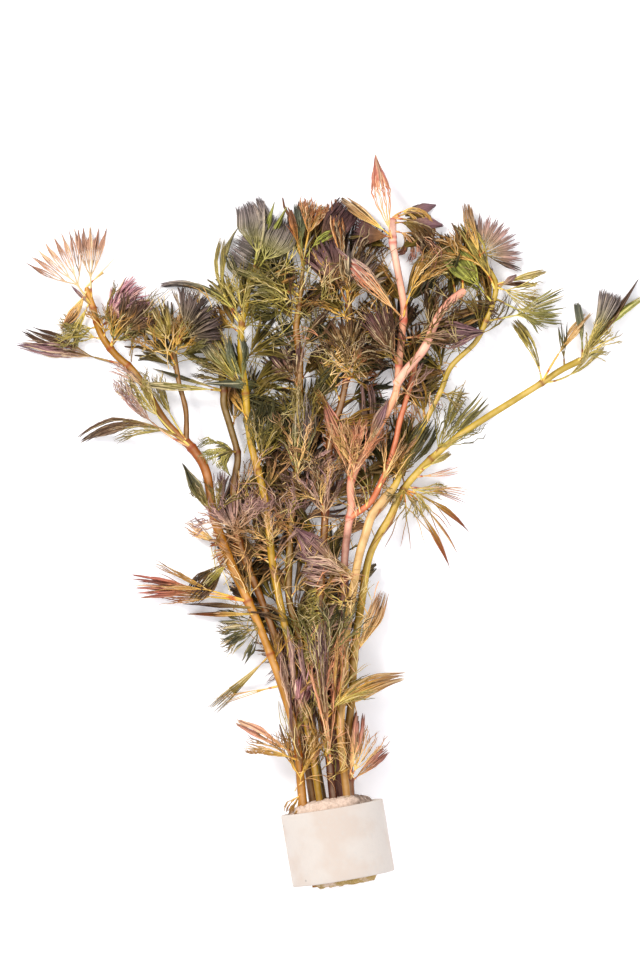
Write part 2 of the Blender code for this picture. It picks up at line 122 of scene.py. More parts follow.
def addNode(tree, kind, settings=None, sockets=None, output=0):
    made = tree.nodes.new(kind)
    for name, value in (settings or {}).items():
        if name == "stops":
            rampStops(made.color_ramp, value)
        else:
            setattr(made, name, value)
    for place, value in (sockets or {}).items():
        plug(tree, made.inputs[place], value)
    return Wire(tree, made.outputs[output])


class Finish:  # a material whose nodes are added by type, settings and socket values
    def __init__(self, name):
        self.material = bpy.data.materials.new(name)
        self.material.use_nodes = True
        self.tree = self.material.node_tree
        self.shader = self.tree.nodes["Principled BSDF"]

    def node(self, kind, settings=None, sockets=None, output=0):
        return addNode(self.tree, "ShaderNode" + kind, settings, sockets, output)

    def attribute(self, name):
        return self.node("Attribute", {"attribute_name": name}, output="Fac")

    def place(self):
        return self.node("TexCoord", output="Object")

    def cloud(self, scale, detail=2.0, roughness=0.5, at=None):
        sockets = {"Vector": at or self.place(), "Scale": scale, "Detail": detail, "Roughness": roughness}
        return self.node("TexNoise", None, sockets)

    def ramp(self, value, *stops):
        return self.node("ValToRGB", {"stops": stops}, {0: value})

    def between(self, value, low, high):  # 0 below low, 1 above high, smooth in between
        return self.node(
            "MapRange", {"interpolation_type": "SMOOTHSTEP"}, {0: value, 1: low, 2: high, 3: 0.0, 4: 1.0}
        )

    def mix(self, factor, first, second):
        return self.node("Mix", {"data_type": "RGBA"}, {0: factor, 6: first, 7: second}, output=2)

    def dim(self, colour, factor):
        return self.node("VectorMath", {"operation": "SCALE"}, {0: colour, "Scale": factor})

    def bump(self, height, strength, distance):
        return self.node("Bump", None, {"Height": height, "Strength": strength, "Distance": distance})

    def set(self, **sockets):
        for name, value in sockets.items():
            plug(self.tree, self.shader.inputs[name.replace("_", " ")], value)
        return self.material


def rampStops(ramp, stops):
    while len(ramp.elements) < len(stops):
        ramp.elements.new(1.0)
    for element, (position, colour) in zip(ramp.elements, stops):
        element.position = position
        element.color = tone(colour) if isinstance(colour, str) else (colour, colour, colour, 1)


# Finishes

def ceramicFinish():
    look = {
        "body": "#cbc2b9", "warm": "#c6b8ac", "cool": "#c3bdb6", "speck": "#8d857c",
        "cloudScale": 110, "grainScale": 900, "speckEdge": (0.00015, 0.00045), "bump": 0.00025,
    }
    finish = Finish("unglazed ceramic")
    broad = finish.cloud(look["cloudScale"], 3)
    fine = finish.cloud(look["grainScale"], 4, 0.7)
    specks = 0.0
    for across, along in ringShape["specks"]:
        height = math.sqrt(ringShape["outer"] ** 2 - across**2)
        spot = tuple(toWorld(onRingAxis([[across, height, along]]))[0])
        away = finish.node("VectorMath", {"operation": "DISTANCE"}, {0: finish.place(), 1: spot}, "Value")
        specks = specks + (1 - finish.between(away, *look["speckEdge"]))
    body = finish.mix(finish.between(broad, 0.38, 0.66), tone(look["body"]), tone(look["warm"]))
    body = finish.mix(finish.between(fine, 0.5, 0.72) * 0.55, body, tone(look["cool"]))
    body = finish.mix(specks * 0.7, body, tone(look["speck"]))
    return finish.set(
        Base_Color=body,
        Roughness=0.78 + fine * 0.14,
        Specular_IOR_Level=0.35,
        Normal=finish.bump(fine + broad * 0.5, 0.35, look["bump"]),
    )


def foamFinish():
    look = {
        "cream": "#dcc2ae", "yellow": "#ae9052", "brown": "#5c4636", "pale": "#ead9cb",
        "grainScale": 1300, "patchScale": 210, "bump": 0.0006,
    }
    finish = Finish("crumbly foam")
    grain = finish.cloud(look["grainScale"], 5, 0.75)
    patches = finish.cloud(look["patchScale"], 2, 0.6)
    stain = finish.between(patches + finish.attribute("stain") * 0.3, 0.62, 0.8)
    colour = finish.mix(stain, tone(look["cream"]), tone(look["yellow"]))
    colour = finish.mix(finish.attribute("grit"), colour, tone(look["brown"]))
    colour = finish.mix(finish.between(grain, 0.52, 0.75), colour, tone(look["pale"]))
    colour = finish.dim(colour, 0.72 + finish.between(grain, 0.25, 0.6) * 0.34)
    return finish.set(Base_Color=colour, Roughness=0.9, Normal=finish.bump(grain, 0.8, look["bump"]))


# Every stem: its painted sheen, a highlight painted along its top, its painted shade on the sides and
# underside, and the height above the ring (mm) where its ramp ends.
stemMarksAndPaintedSheen = {"streakScale": 190, "mottleScale": 900, "paintedSheen": "#ffe9c4", "rampTop": 200, "bump": 0.0003}


def stemFinish(name, joint, *bodies):
    # bodies: colours at heights above the ring, in mm
    finish = Finish(name)
    streak = finish.cloud(stemMarksAndPaintedSheen["streakScale"], 2, 0.6)
    mottle = finish.cloud(stemMarksAndPaintedSheen["mottleScale"], 3, 0.6)
    stops = ((height / stemMarksAndPaintedSheen["rampTop"], colour) for height, colour in bodies)
    body = finish.ramp(finish.attribute("rise"), *stops)
    # Painted shade and painted highlight: each stem is darker along its sides and underside and has a pale
    # sheen along its top, as light from above would give.
    top = finish.attribute("around")
    edge = finish.between(top + (streak - 0.5) * 0.2, 0.5, 0.84)
    colour = finish.dim(body, (0.46 + edge * 0.54) * (0.76 + finish.between(streak, 0.34, 0.66) * 0.24))
    paintedSheen = finish.between(top + streak * 0.3, 1.02, 1.22) * 0.2
    colour = finish.mix(paintedSheen, colour, tone(stemMarksAndPaintedSheen["paintedSheen"]))
    colour = finish.mix(finish.between(mottle, 0.52, 0.8) * 0.3, colour, finish.dim(body, 0.46))
    colour = finish.mix(finish.attribute("joint"), colour, tone(joint))
    return finish.set(
        Base_Color=colour,
        Roughness=0.3 + mottle * 0.2,
        Specular_IOR_Level=0.24,
        Coat_Weight=0.04 + streak * 0.08,
        Coat_Roughness=0.2,
        Normal=finish.bump(mottle, 0.25, stemMarksAndPaintedSheen["bump"]),
    )


# The colour of each stem's joints, then its own at heights above the ring (mm).
stemLooks = {
    "left_stem": (
        "#852a0b", (20, "#b07215"), (62, "#bb7c18"), (96, "#b4711a"), (112, "#a0500e"), (126, "#8f5b09"),
        (146, "#af7408"), (160, "#c58414"),
    ),
    "amber_stem": ("#641f09", (20, "#804f0a"), (64, "#7e4708"), (90, "#87500c"), (120, "#6b4d08")),
    "yellow_stem": ("#7b3417", (20, "#a67b14"), (70, "#b5891a"), (110, "#c9991a"), (145, "#c9a314")),
    "olive_stem": (
        "#5a1e09", (20, "#755408"), (60, "#865a0a"), (100, "#745008"), (140, "#8b5504"), (158, "#9a6b1c"),
        (168, "#b4913f"),
    ),
    "brown_stem": (
        "#61190a", (20, "#54270e"), (44, "#63310e"), (80, "#794810"), (110, "#7c4513"), (145, "#633c05"),
    ),
    "pink_stem": (
        "#ba422e", (20, "#81433a"), (48, "#8e5746"), (76, "#8e5d52"), (88, "#b57b69"), (94, "#f8b096"),
        (118, "#eea16f"), (136, "#f8ae87"), (150, "#f2a37d"), (176, "#ffc6b0"),
    ),
    "lime_stem": (
        "#87361e", (20, "#b07d38"), (60, "#c8a04e"), (84, "#daab6b"), (100, "#dfb272"), (104, "#cca736"),
        (140, "#bd9c29"),
    ),
    "right_stem": ("#742d1a", (20, "#925a2b"), (60, "#bc9730"), (96, "#d6b041"), (130, "#c3a234")),
    "left_fork": ("#681e08", (110, "#794707"), (145, "#845709")),
    "pink_fork": ("#ba422d", (130, "#ffbea4"), (160, "#faa98d")),
    "rose_branch": ("#912d1f", (94, "#e17b4d"), (142, "#c4643c")),
}


# Along a thread: petiole, the knot where it first forks, inner threads, middle, outer blade, tip.
leafLooks = {
    "pinkTips": ("#e6c060", "#aa5038", "#dccb8a", "#cfae84", "#bf9278", "#8e5840"),
    "mauveFur": ("#d8955a", "#96392a", "#b98258", "#b47c76", "#b8828c", "#c8979e"),
    "mauvePale": ("#d7a860", "#983b28", "#bfa460", "#b89778", "#b48f85", "#775655"),
    "paleGreen": ("#d7b855", "#964c28", "#d6c872", "#c9ba63", "#98914d", "#5a5837"),
    "freshGreen": ("#d8c660", "#8a6030", "#c4bc54", "#b2b04c", "#a6a850", "#aaa458"),
    "rosyNet": ("#f6b273", "#b85236", "#f0be77", "#dda071", "#c5836e", "#895545"),
    "mauveBlade": ("#e8ac70", "#a03a28", "#b49250", "#94705a", "#8a6468", "#6c4c54"),
    "greyBlade": ("#d8bc5c", "#954a28", "#b4ac50", "#a39a5c", "#8e8274", "#7c6c6e"),
    "darkTuft": ("#d0a860", "#843326", "#988648", "#77664c", "#68564e", "#5a4a48"),
    "orangeFan": ("#e7b458", "#af461b", "#d7a642", "#ca8b3c", "#b87746", "#945c3b"),
    "roseBrush": ("#ffc47e", "#ef6039", "#ffc479", "#d88f5e", "#b46751", "#924d41"),
    "brownBrush": ("#c3984e", "#7c2d18", "#9b7f38", "#7c5c30", "#60432e", "#493124"),
    "paleBrush": ("#ffcf5d", "#b94f28", "#ffdb76", "#e6b663", "#af8558", "#755740"),
    "greenBrush": ("#dcbb5a", "#8c4020", "#bcaa4e", "#988a41", "#7a713a", "#585232"),
    "limeThreads": ("#fadb7a", "#a7542c", "#e5cc6f", "#cdb85c", "#ab974b", "#857140"),
    "darkGreen": ("#c5a44d", "#7b3017", "#947f39", "#675e2f", "#504c2c", "#413e26"),
    "tealBlade": ("#d2ae54", "#98462a", "#98944a", "#7c7c4c", "#6a6c54", "#5a5c50"),
    "goldThreads": ("#f7c45b", "#b45026", "#e8bc52", "#cf9e47", "#ac7c3d", "#855a35"),
    "tanHairs": ("#ffde91", "#cf6034", "#ffd988", "#ebba73", "#c29161", "#986b50"),
    "mauveHairs": ("#f0bc88", "#aa4c34", "#dcb080", "#c8a086", "#ae867c", "#8e6a6a"),
    "redSpikes": ("#ffb458", "#bc4e24", "#cba83c", "#b88d37", "#98562c", "#6d311b"),
    "purpleBlade": ("#c88c54", "#963026", "#94683e", "#7c583e", "#6e4c48", "#54393c"),
    "salmonTuft": ("#ffc891", "#d75a31", "#ffc891", "#f6af7e", "#da906a", "#b16d50"),
    "oliveNet": ("#d1a64b", "#87391b", "#bd9d44", "#9b8538", "#7d6832", "#5e4929"),
}


# Every leaf: where its six colours stand along a thread (the petiole's from 0 to 0.12), how dark each
# thread is by its own shade, and the pale colour of the painted highlight on its lightest threads.
leafTonesAndPaintedGlint = {
    "places": (0.0, 0.12, 0.155, 0.20, 0.45, 0.72, 1.0),
    "shades": ((0.0, 0.13), (0.22, 0.42), (0.6, 0.88), (1.0, 1.12)),
    "bright": "#f6deac", "mottleScale": 620, "bump": 0.0002,
}


def leafFinish(name, look):
    finish = Finish("leaf " + name)
    along = finish.attribute("along")
    tint = finish.attribute("tint")
    mottle = finish.cloud(leafTonesAndPaintedGlint["mottleScale"], 3, 0.65)
    spot = along + (tint - 0.5) * 0.16 + (mottle - 0.5) * 0.12
    colour = finish.ramp(spot, *zip(leafTonesAndPaintedGlint["places"], (look[0], *look)))
    stripe = finish.ramp(tint, *leafTonesAndPaintedGlint["shades"])
    colour = finish.dim(colour, stripe * (1.0 + mottle * 0.84))
    # Painted highlight: the lightest threads are mixed towards a pale glint colour, as where they catch the
    # light.
    bright = finish.between(tint + mottle * 0.3, 0.7, 1.08)
    colour = finish.mix(bright * 0.62, colour, tone(leafTonesAndPaintedGlint["bright"]))
    return finish.set(
        Base_Color=colour,
        Roughness=0.3 + mottle * 0.3,
        Specular_IOR_Level=0.28,
        Normal=finish.bump(mottle, 0.3, leafTonesAndPaintedGlint["bump"]),
    )


leafFinishes = {name: leafFinish(name, look) for name, look in leafLooks.items()}
finishOrder = list(leafFinishes)
print("finishes made:", len(bpy.data.materials))


# Geometry Nodes: one tree draws every thread, another every stem.

def sweptTree(name, sides, flatness):
    # Sweeps a flat round section along each line, as wide as its points say.
    tree = bpy.data.node_groups.new(name, "GeometryNodeTree")
    sockets = {
        "Geometry": ("Geometry", None), "Sides": ("Int", sides), "Flatness": ("Float", flatness),
        "Width Scale": ("Float", 1.0), "Material": ("Material", None),
    }
    for label, (kind, value) in sockets.items():
        socket = tree.interface.new_socket(label, in_out="INPUT", socket_type="NodeSocket" + kind)
        if value is not None:
            socket.default_value = value
    tree.interface.new_socket("Geometry", in_out="OUTPUT", socket_type="NodeSocketGeometry")
    group = tree.nodes.new("NodeGroupInput")
    given = {label: Wire(tree, group.outputs[label]) for label in sockets}

    def node(kind, inputs=None, **settings):
        return addNode(tree, "GeometryNode" + kind, settings, inputs)

    def perPoint(key):
        return node("InputNamedAttribute", {"Name": key}, data_type="FLOAT")

    lines = node("MeshToCurve", {"Mesh": given["Geometry"]})
    lines = node("SetCurveNormal", {"Curve": lines}, mode="Z_UP")
    lines = node("SetCurveTilt", {"Curve": lines, "Tilt": perPoint("twist")})
    section = node("CurvePrimitiveCircle", {"Resolution": given["Sides"], "Radius": 0.5}, mode="RADIUS")
    squeeze = addNode(tree, "ShaderNodeCombineXYZ", None, {"X": given["Flatness"], "Y": 1.0, "Z": 1.0})
    section = node(
        "Transform", {"Geometry": section, "Rotation": (0, 0, -math.pi / 2), "Scale": squeeze}
    )
    index = node("InputIndex")
    angle = index.maths("DIVIDE", index, given["Sides"]) * math.tau
    # The stems' painted shade and painted sheen are read from this.
    top = 0.5 + 0.5 * angle.maths("COSINE", angle, None)  # 0 along the underside of a line, 1 along its top
    section = node(
        "StoreNamedAttribute", {"Geometry": section, "Name": "around", "Value": top},
        data_type="FLOAT", domain="POINT",
    )
    width = perPoint("width") * given["Width Scale"]
    swept = node(
        "CurveToMesh", {"Curve": lines, "Profile Curve": section, "Scale": width, "Fill Caps": True}
    )
    swept = node("SetShadeSmooth", {"Geometry": swept, "Shade Smooth": True})
    swept = node("RealizeInstances", {"Geometry": swept})
    painted = node("SetMaterial", {"Geometry": swept, "Material": given["Material"]})
    tree.links.new(painted.socket, tree.nodes.new("NodeGroupOutput").inputs[0])
    return tree


def giveInput(modifier, name, value):
    for item in modifier.node_group.interface.items_tree:
        if item.name == name and item.in_out == "INPUT":
            modifier[item.identifier] = value


def sweep(name, tree, lines, inputs):
    # lines: one array of rows (x, y, z in mm) for each thread, with a dictionary of its points' values
    places = np.concatenate([line["points"] for line in lines])
    edges = []
    start = 0
    for line in lines:
        count = len(line["points"])
        edges += [(i, i + 1) for i in range(start, start + count - 1)]
        start += count
    mesh = bpy.data.meshes.new(name + " lines")
    mesh.from_pydata(toWorld(places), edges, [])
    for key in lines[0]:
        if key != "points":
            values = np.concatenate([np.broadcast_to(line[key], len(line["points"])) for line in lines])
            mesh.attributes.new(key, "FLOAT", "POINT").data.foreach_set("value", values.astype(np.float32))
    obj = bpy.data.objects.new(name, mesh)
    bpy.context.scene.collection.objects.link(obj)
    modifier = obj.modifiers.new("Sweep", "NODES")
    modifier.node_group = tree
    for label, value in inputs.items():
        giveInput(modifier, label, value)
    graph = bpy.context.evaluated_depsgraph_get()
    final = bpy.data.meshes.new_from_object(obj.evaluated_get(graph))
    obj.modifiers.remove(modifier)
    obj.data = final
    bpy.data.meshes.remove(mesh)
    final.name = name
    return obj


threadTree = sweptTree("thread sweep", sides=3, flatness=0.4)
stemTree = sweptTree("stem sweep", sides=12, flatness=0.94)


def keepPiece(obj, *replaced):
    if replaced:
        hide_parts(*replaced)
    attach(obj, "root")
    return obj


# Stems: their routes are those of the model, with swollen joints where leaves and branches leave.

stemRoutes = {
    "left_stem": (
        (-10, 11, 17.4), (-12, 30, 16.8), (-16, 45, 15.2), (-22, 61, 12.8), (-26, 70, 11.4),
        (-31, 81, 10.4), (-36, 95, 9.4), (-38, 107, 8.6), (-42, 114, 8.0), (-50, 122, 7.2),
        (-58, 135, 6.6), (-65, 142, 6.2), (-69, 148, 5.8), (-71, 155, 5.6), (-73, 161, 5.4),
    ),
    "amber_stem": (
        (-7, 11, 13.4), (-10, 29, 13.2), (-14, 44, 12.0), (-18, 59, 10.0), (-22, 70, 8.8),
        (-28, 85, 7.8), (-30, 95, 7.4), (-30, 104, 7.0), (-29, 112, 6.8), (-31, 120, 6.6),
        (-33, 127, 6.4), (-33, 131, 6.2), (-34, 138, 6.0),
    ),
    "yellow_stem": (
        (-5, 11, 17.8), (-8, 30, 17.0), (-11, 42, 15.8), (-14, 57, 13.6), (-17, 71, 12.0),
        (-19, 82, 11.2), (-21, 99, 10.2), (-25, 115, 9.4), (-26, 123, 9.0), (-27, 133, 8.6),
        (-28, 140, 8.2), (-28, 149, 7.8), (-27, 154, 7.4), (-26, 160, 7.0), (-25, 164, 6.8),
    ),
    "olive_stem": (
        (-4, 11, 13.6), (-7, 29, 13.2), (-8, 44, 12.0), (-11, 59, 10.4), (-14, 70, 9.2),
        (-14, 82, 8.4), (-13, 99, 7.6), (-10, 120, 7.0), (-11, 129, 6.8), (-11, 140, 6.6),
        (-12, 149, 6.4), (-11, 157, 6.2), (-10, 167, 6.0),
    ),
    "brown_stem": (
        (-1, 11, 18.0), (-3, 30, 17.2), (-5, 45, 15.8), (-5, 59, 14.0), (-5, 73, 12.6),
        (-4, 88, 11.4), (-3, 105, 10.2), (-2, 117, 9.6), (1, 127, 9.2), (3, 137, 8.8),
        (4, 147, 8.2), (3, 157, 7.8),
    ),
    "pink_stem": (
        (1, 11, 13.8), (-1, 29, 13.4), (-1, 41, 12.8), (0, 56, 12.2), (2, 70, 12.0), (2, 81, 12.0),
        (3, 91, 12.0), (4, 97, 12.0), (4, 105, 12.0), (9, 115, 11.8), (14, 124, 11.6),
        (17, 131, 11.4), (18, 141, 11.2), (19, 151, 11.0), (19, 157, 10.8), (17, 168, 10.4),
        (16, 174, 10.2), (16, 181, 10.0),
    ),
    "lime_stem": (
        (3, 11, 18.0), (1, 30, 16.8), (1, 39, 16.0), (2, 48, 15.2), (2, 57, 14.8), (4, 70, 14.6),
        (6, 82, 14.4), (8, 89, 14.0), (10, 95, 13.2), (13, 99, 12.4), (17, 104, 11.4),
        (20, 112, 10.4), (25, 121, 9.6), (30, 131, 8.8), (33, 138, 8.4), (40, 145, 7.8),
        (43, 151, 7.4), (45, 156, 7.0), (46, 162, 6.8), (43, 167, 6.6), (40, 170, 6.4),
    ),
    "right_stem": (
        (4, 11, 14.2), (3, 29, 13.4), (4, 41, 12.6), (5, 56, 11.6), (7, 70, 10.8), (9, 82, 10.2),
        (12, 89, 9.8), (15, 94, 9.4), (19, 102, 9.0), (23, 107, 8.6), (27, 111, 8.2),
        (34, 117, 7.8), (43, 123, 7.2), (51, 128, 6.8), (59, 133, 6.4), (65, 137, 6.0),
        (71, 140, 5.6),
    ),
    "left_fork": ((-43, 117, 9.6), (-44, 125, 8.4), (-46, 133, 7.4), (-47, 139, 6.8), (-48, 145, 6.4)),
    "pink_fork": (
        (17, 133, 13.6), (20, 137, 13.0), (25, 143, 12.4), (29, 152, 11.4), (33, 157, 10.8),
        (37, 160, 10.4),
    ),
    "rose_branch": (
        (4, 94, 14.6), (9, 98, 13.8), (12, 103, 12.6), (15, 110, 11.2), (17, 117, 10.0),
        (18, 122, 9.4), (21, 132, 8.8), (22, 136, 8.6), (23, 142, 8.4),
    ),
}
branchRoots = {"left_fork": "left_stem", "pink_fork": "pink_stem", "rose_branch": "pink_stem"}
stemShape = {
    "step": 0.8,  # between the rings of a tube
    "ringLean": math.radians(9.5),
    "cutEnd": 11.5,  # below the ring's centre
    "width": {  # of each stem, as (height above the ring, width)
        "left_stem": ((20, 2.6), (60, 2.5), (100, 2.7), (113, 2.9), (118, 2.2), (140, 2.1), (161, 1.8)),
        "olive_stem": ((20, 2.3), (140, 2.1), (154, 1.7), (159, 1.2), (167, 1.0)),
        "yellow_stem": ((20, 2.2), (140, 2.1), (164, 1.7)),
        "brown_stem": ((20, 2.5), (100, 2.3), (157, 1.9)),
        "lime_stem": ((20, 2.4), (101, 2.6), (106, 1.7), (170, 1.5)),
        "left_fork": ((117, 1.7), (145, 1.4)),
        "pink_fork": ((133, 2.6), (160, 2.3)),
        "rose_branch": ((94, 1.8), (142, 1.5)),
        "right_stem": ((20, 2.4), (92, 2.2), (120, 2.0), (140, 1.9)),
    },
    "otherWidth": ((20, 2.4), (170, 2.1)),
    "jointSwell": 0.2, "jointLength": 0.8, "jointLine": 0.6, "jointDark": 0.75,
    "ripple": 0.05,
    "end": 0.6,  # share of the width left at the tip
}


def smoothRoute(points, step):
    points = np.array(points, float)
    padded = np.vstack([2 * points[0] - points[1], points, 2 * points[-1] - points[-2]])
    fine = []
    for a, b, c, d in zip(padded, padded[1:], padded[2:], padded[3:]):
        for t in np.arange(8) / 8:
            fine.append(0.5 * (
                2 * b + (c - a) * t + (2 * a - 5 * b + 4 * c - d) * t**2
                + (3 * b - a - 3 * c + d) * t**3
            ))
    fine = np.array(fine + [points[-1]])
    lengths = np.concatenate([[0], np.cumsum(np.linalg.norm(np.diff(fine, axis=0), axis=1))])
    count = max(2, round(lengths[-1] / step))
    at = np.linspace(0, lengths[-1], count + 1)
    return np.stack([np.interp(at, lengths, fine[:, axis]) for axis in range(3)], axis=1)


def throughFoam(route):
    lean = stemShape["ringLean"]
    axis = np.array((-math.sin(lean), math.cos(lean), 0))
    first = np.array(route[0], float)
    back = first[:2] @ axis[:2] + stemShape["cutEnd"]
    return [first - axis * back, first - axis * back / 2, *route]


def intoStem(route, carrier):  # a branch starts inside the stem that carries it
    first = np.array(route[0], float)
    near = carrier[np.argmin(np.linalg.norm(carrier[:, :2] - first[:2], axis=1))]
    second = np.array(route[1], float)
    return [near - (second - first) * 0.12, *route[1:]]


def allRoutes():
    made = {}
    for name, points in stemRoutes.items():
        if name in branchRoots:
            points = intoStem(points, made[branchRoots[name]])
        else:
            points = throughFoam(points)
        made[name] = smoothRoute(points, stemShape["step"])
    return made


routes = allRoutes()


def nearestOn(route, point):
    return int(np.argmin(np.linalg.norm(route[:, :2] - np.asarray(point, float)[:2], axis=1)))


# Leaves: threads that fork again and again from a petiole, laid on the model's own leaf solids.

# forks: share of the length at each fork, and how many threads leave it. locks: the teeth that the
# outer threads clump into, as far as pinch says, from pinchFrom on. lobe: how much shorter the threads
# at a tooth's sides are. ragged: how uneven the tips are. thread and ribbon: widths at the inner end and
# at the widest place, mm. open: share of the length in which a fork opens. loose, waver, lift and arch:
# how far threads stray, wind and rise, the last two in mm. closed: the threads come together again, to
# taper's share of the width, and are widest at bellyAt. thin: share of the outer threads left out.
# under: for a leaf that lies below the stems, its height above the floor, mm. layers: how many leaves
# lie one over the other. twist: how far outer threads roll. shade: how light they are.
plainLeaf = {
    "locks": 0, "pinch": 1.0, "pinchFrom": 1.0, "lobe": 0.16, "ragged": 0.1, "thread": 0.26, "ribbon": 0.5,
    "open": 0.28, "loose": 0.05, "waver": 0.05, "lift": 1.2, "arch": 1.5, "layers": 1, "closed": False,
    "taper": 0.7, "bellyAt": 0.5, "twist": 0.25, "shade": 1.0, "thin": 0.0, "under": 0.0,
}
leafStyles = {
    "teeth": {  # an open fan, its threads gathered in pointed teeth
        "forks": ((0.20, 4), (0.34, 3), (0.48, 2), (0.60, 3)), "locks": 13, "pinch": 0.05,
        "pinchFrom": 0.66, "ragged": 0.02, "loose": 0.012, "lift": 0.4, "waver": 0.012,
    },
    "blade": {  # ribbons side by side, as one striped blade with a serrated end
        "forks": ((0.14, 5), (0.22, 3), (0.31, 2), (0.40, 2)), "locks": 10, "pinch": 0.8,
        "pinchFrom": 0.9, "ragged": 0.02, "thread": 0.3, "ribbon": 0.6, "loose": 0.01, "lift": 0.16,
        "arch": 1.6, "waver": 0.015, "open": 0.2, "twist": 0.12, "shade": 0.66,
    },
    "paddle": {  # threads side by side in a blade with a rounded end
        "forks": ((0.30, 4), (0.38, 3), (0.46, 2), (0.54, 2)), "locks": 1, "ragged": 0.05, "thread": 0.28,
        "ribbon": 0.46, "shade": 0.7, "loose": 0.02, "lift": 0.3, "arch": 1.8, "layers": 2,
        "closed": True, "waver": 0.03, "taper": 0.72, "lobe": 0.12, "open": 0.24, "twist": 0.14,
    },
    "fur": {  # a dome of short pointed hairs
        "forks": ((0.30, 5), (0.40, 3), (0.48, 3), (0.54, 3)), "ragged": 0.24, "thread": 0.3,
        "ribbon": 0.52, "loose": 0.07, "lift": 1.6, "arch": 3.4, "open": 0.26, "shade": 0.8,
    },
    "tuft": {  # a dense mat of short pointed locks
        "forks": ((0.14, 5), (0.24, 3), (0.34, 2), (0.44, 4)), "locks": 40, "pinch": 0.3,
        "pinchFrom": 0.5, "ragged": 0.24, "ribbon": 0.66, "arch": 2.8, "waver": 0.03, "open": 0.25,
    },
    "brush": {  # wet threads side by side, like a paint brush with a blunt end
        "forks": ((0.16, 4), (0.27, 3), (0.40, 2), (0.52, 2)), "locks": 1, "pinchFrom": 0.7,
        "ragged": 0.11, "thread": 0.24, "ribbon": 0.46, "loose": 0.22, "arch": 1.2, "closed": True,
        "waver": 0.22,
    },
    "point": {  # wet threads that close to a point
        "forks": ((0.14, 4), (0.22, 3), (0.33, 2), (0.46, 2)), "locks": 1, "pinchFrom": 0.7,
        "ragged": 0.08, "ribbon": 0.55, "lift": 0.8, "arch": 1.2, "closed": True, "waver": 0.16,
        "taper": 0.1, "open": 0.22,
    },
    "spikes": {  # few stiff pointed threads, far apart
        "forks": ((0.16, 4), (0.30, 2), (0.42, 2), (0.52, 2)), "locks": 15, "pinch": 0.06,
        "pinchFrom": 0.55, "thread": 0.24, "ribbon": 0.55, "loose": 0.04, "lift": 1.4,
    },
    "rays": {  # single stiff threads, each widening to a pointed end
        "forks": ((0.16, 3), (0.28, 2), (0.40, 2)), "ragged": 0.11, "ribbon": 0.62, "loose": 0.06,
        "lift": 1.4, "waver": 0.04,
    },
    "net": {  # fine loose threads
        "forks": ((0.15, 5), (0.30, 3), (0.48, 2), (0.66, 2)), "ragged": 0.14, "thread": 0.24,
        "ribbon": 0.28, "loose": 0.24, "lift": 2.4, "arch": 2.0, "waver": 0.16,
    },
    "curl": {  # long threads that turn back on themselves
        "forks": ((0.12, 5), (0.24, 3), (0.36, 2), (0.50, 2)), "locks": 12, "pinch": 0.4,
        "pinchFrom": 0.75, "thread": 0.24, "ribbon": 0.32, "loose": 0.2, "lift": 1.8, "arch": 4.0,
        "waver": 0.3,
    },
}

earlyForks = ((0.12, 4), (0.20, 3), (0.29, 2), (0.38, 2))
lateForks = ((0.38, 4), (0.44, 3), (0.52, 2), (0.60, 2))
netForks = ((0.14, 4), (0.24, 2), (0.50, 3), (0.62, 2))
tipForks = ((0.46, 5), (0.56, 3), (0.68, 2), (0.78, 2))
hangForks = ((0.44, 5), (0.52, 3), (0.62, 2), (0.76, 2))
fanForks = ((0.32, 4), (0.44, 3), (0.54, 2))
furForks = ((0.34, 5), (0.44, 3), (0.50, 3), (0.56, 4))
domeForks = ((0.30, 4), (0.38, 3), (0.44, 3), (0.50, 4))
toothForks = ((0.28, 4), (0.42, 3), (0.55, 2), (0.66, 3))
brushForks = ((0.30, 4), (0.40, 3), (0.50, 2), (0.58, 2))
latestForks = ((0.46, 4), (0.52, 3), (0.58, 2), (0.66, 2))
spikeForks = ((0.20, 2), (0.36, 2))
rayForks = ((0.18, 3), (0.34, 2))

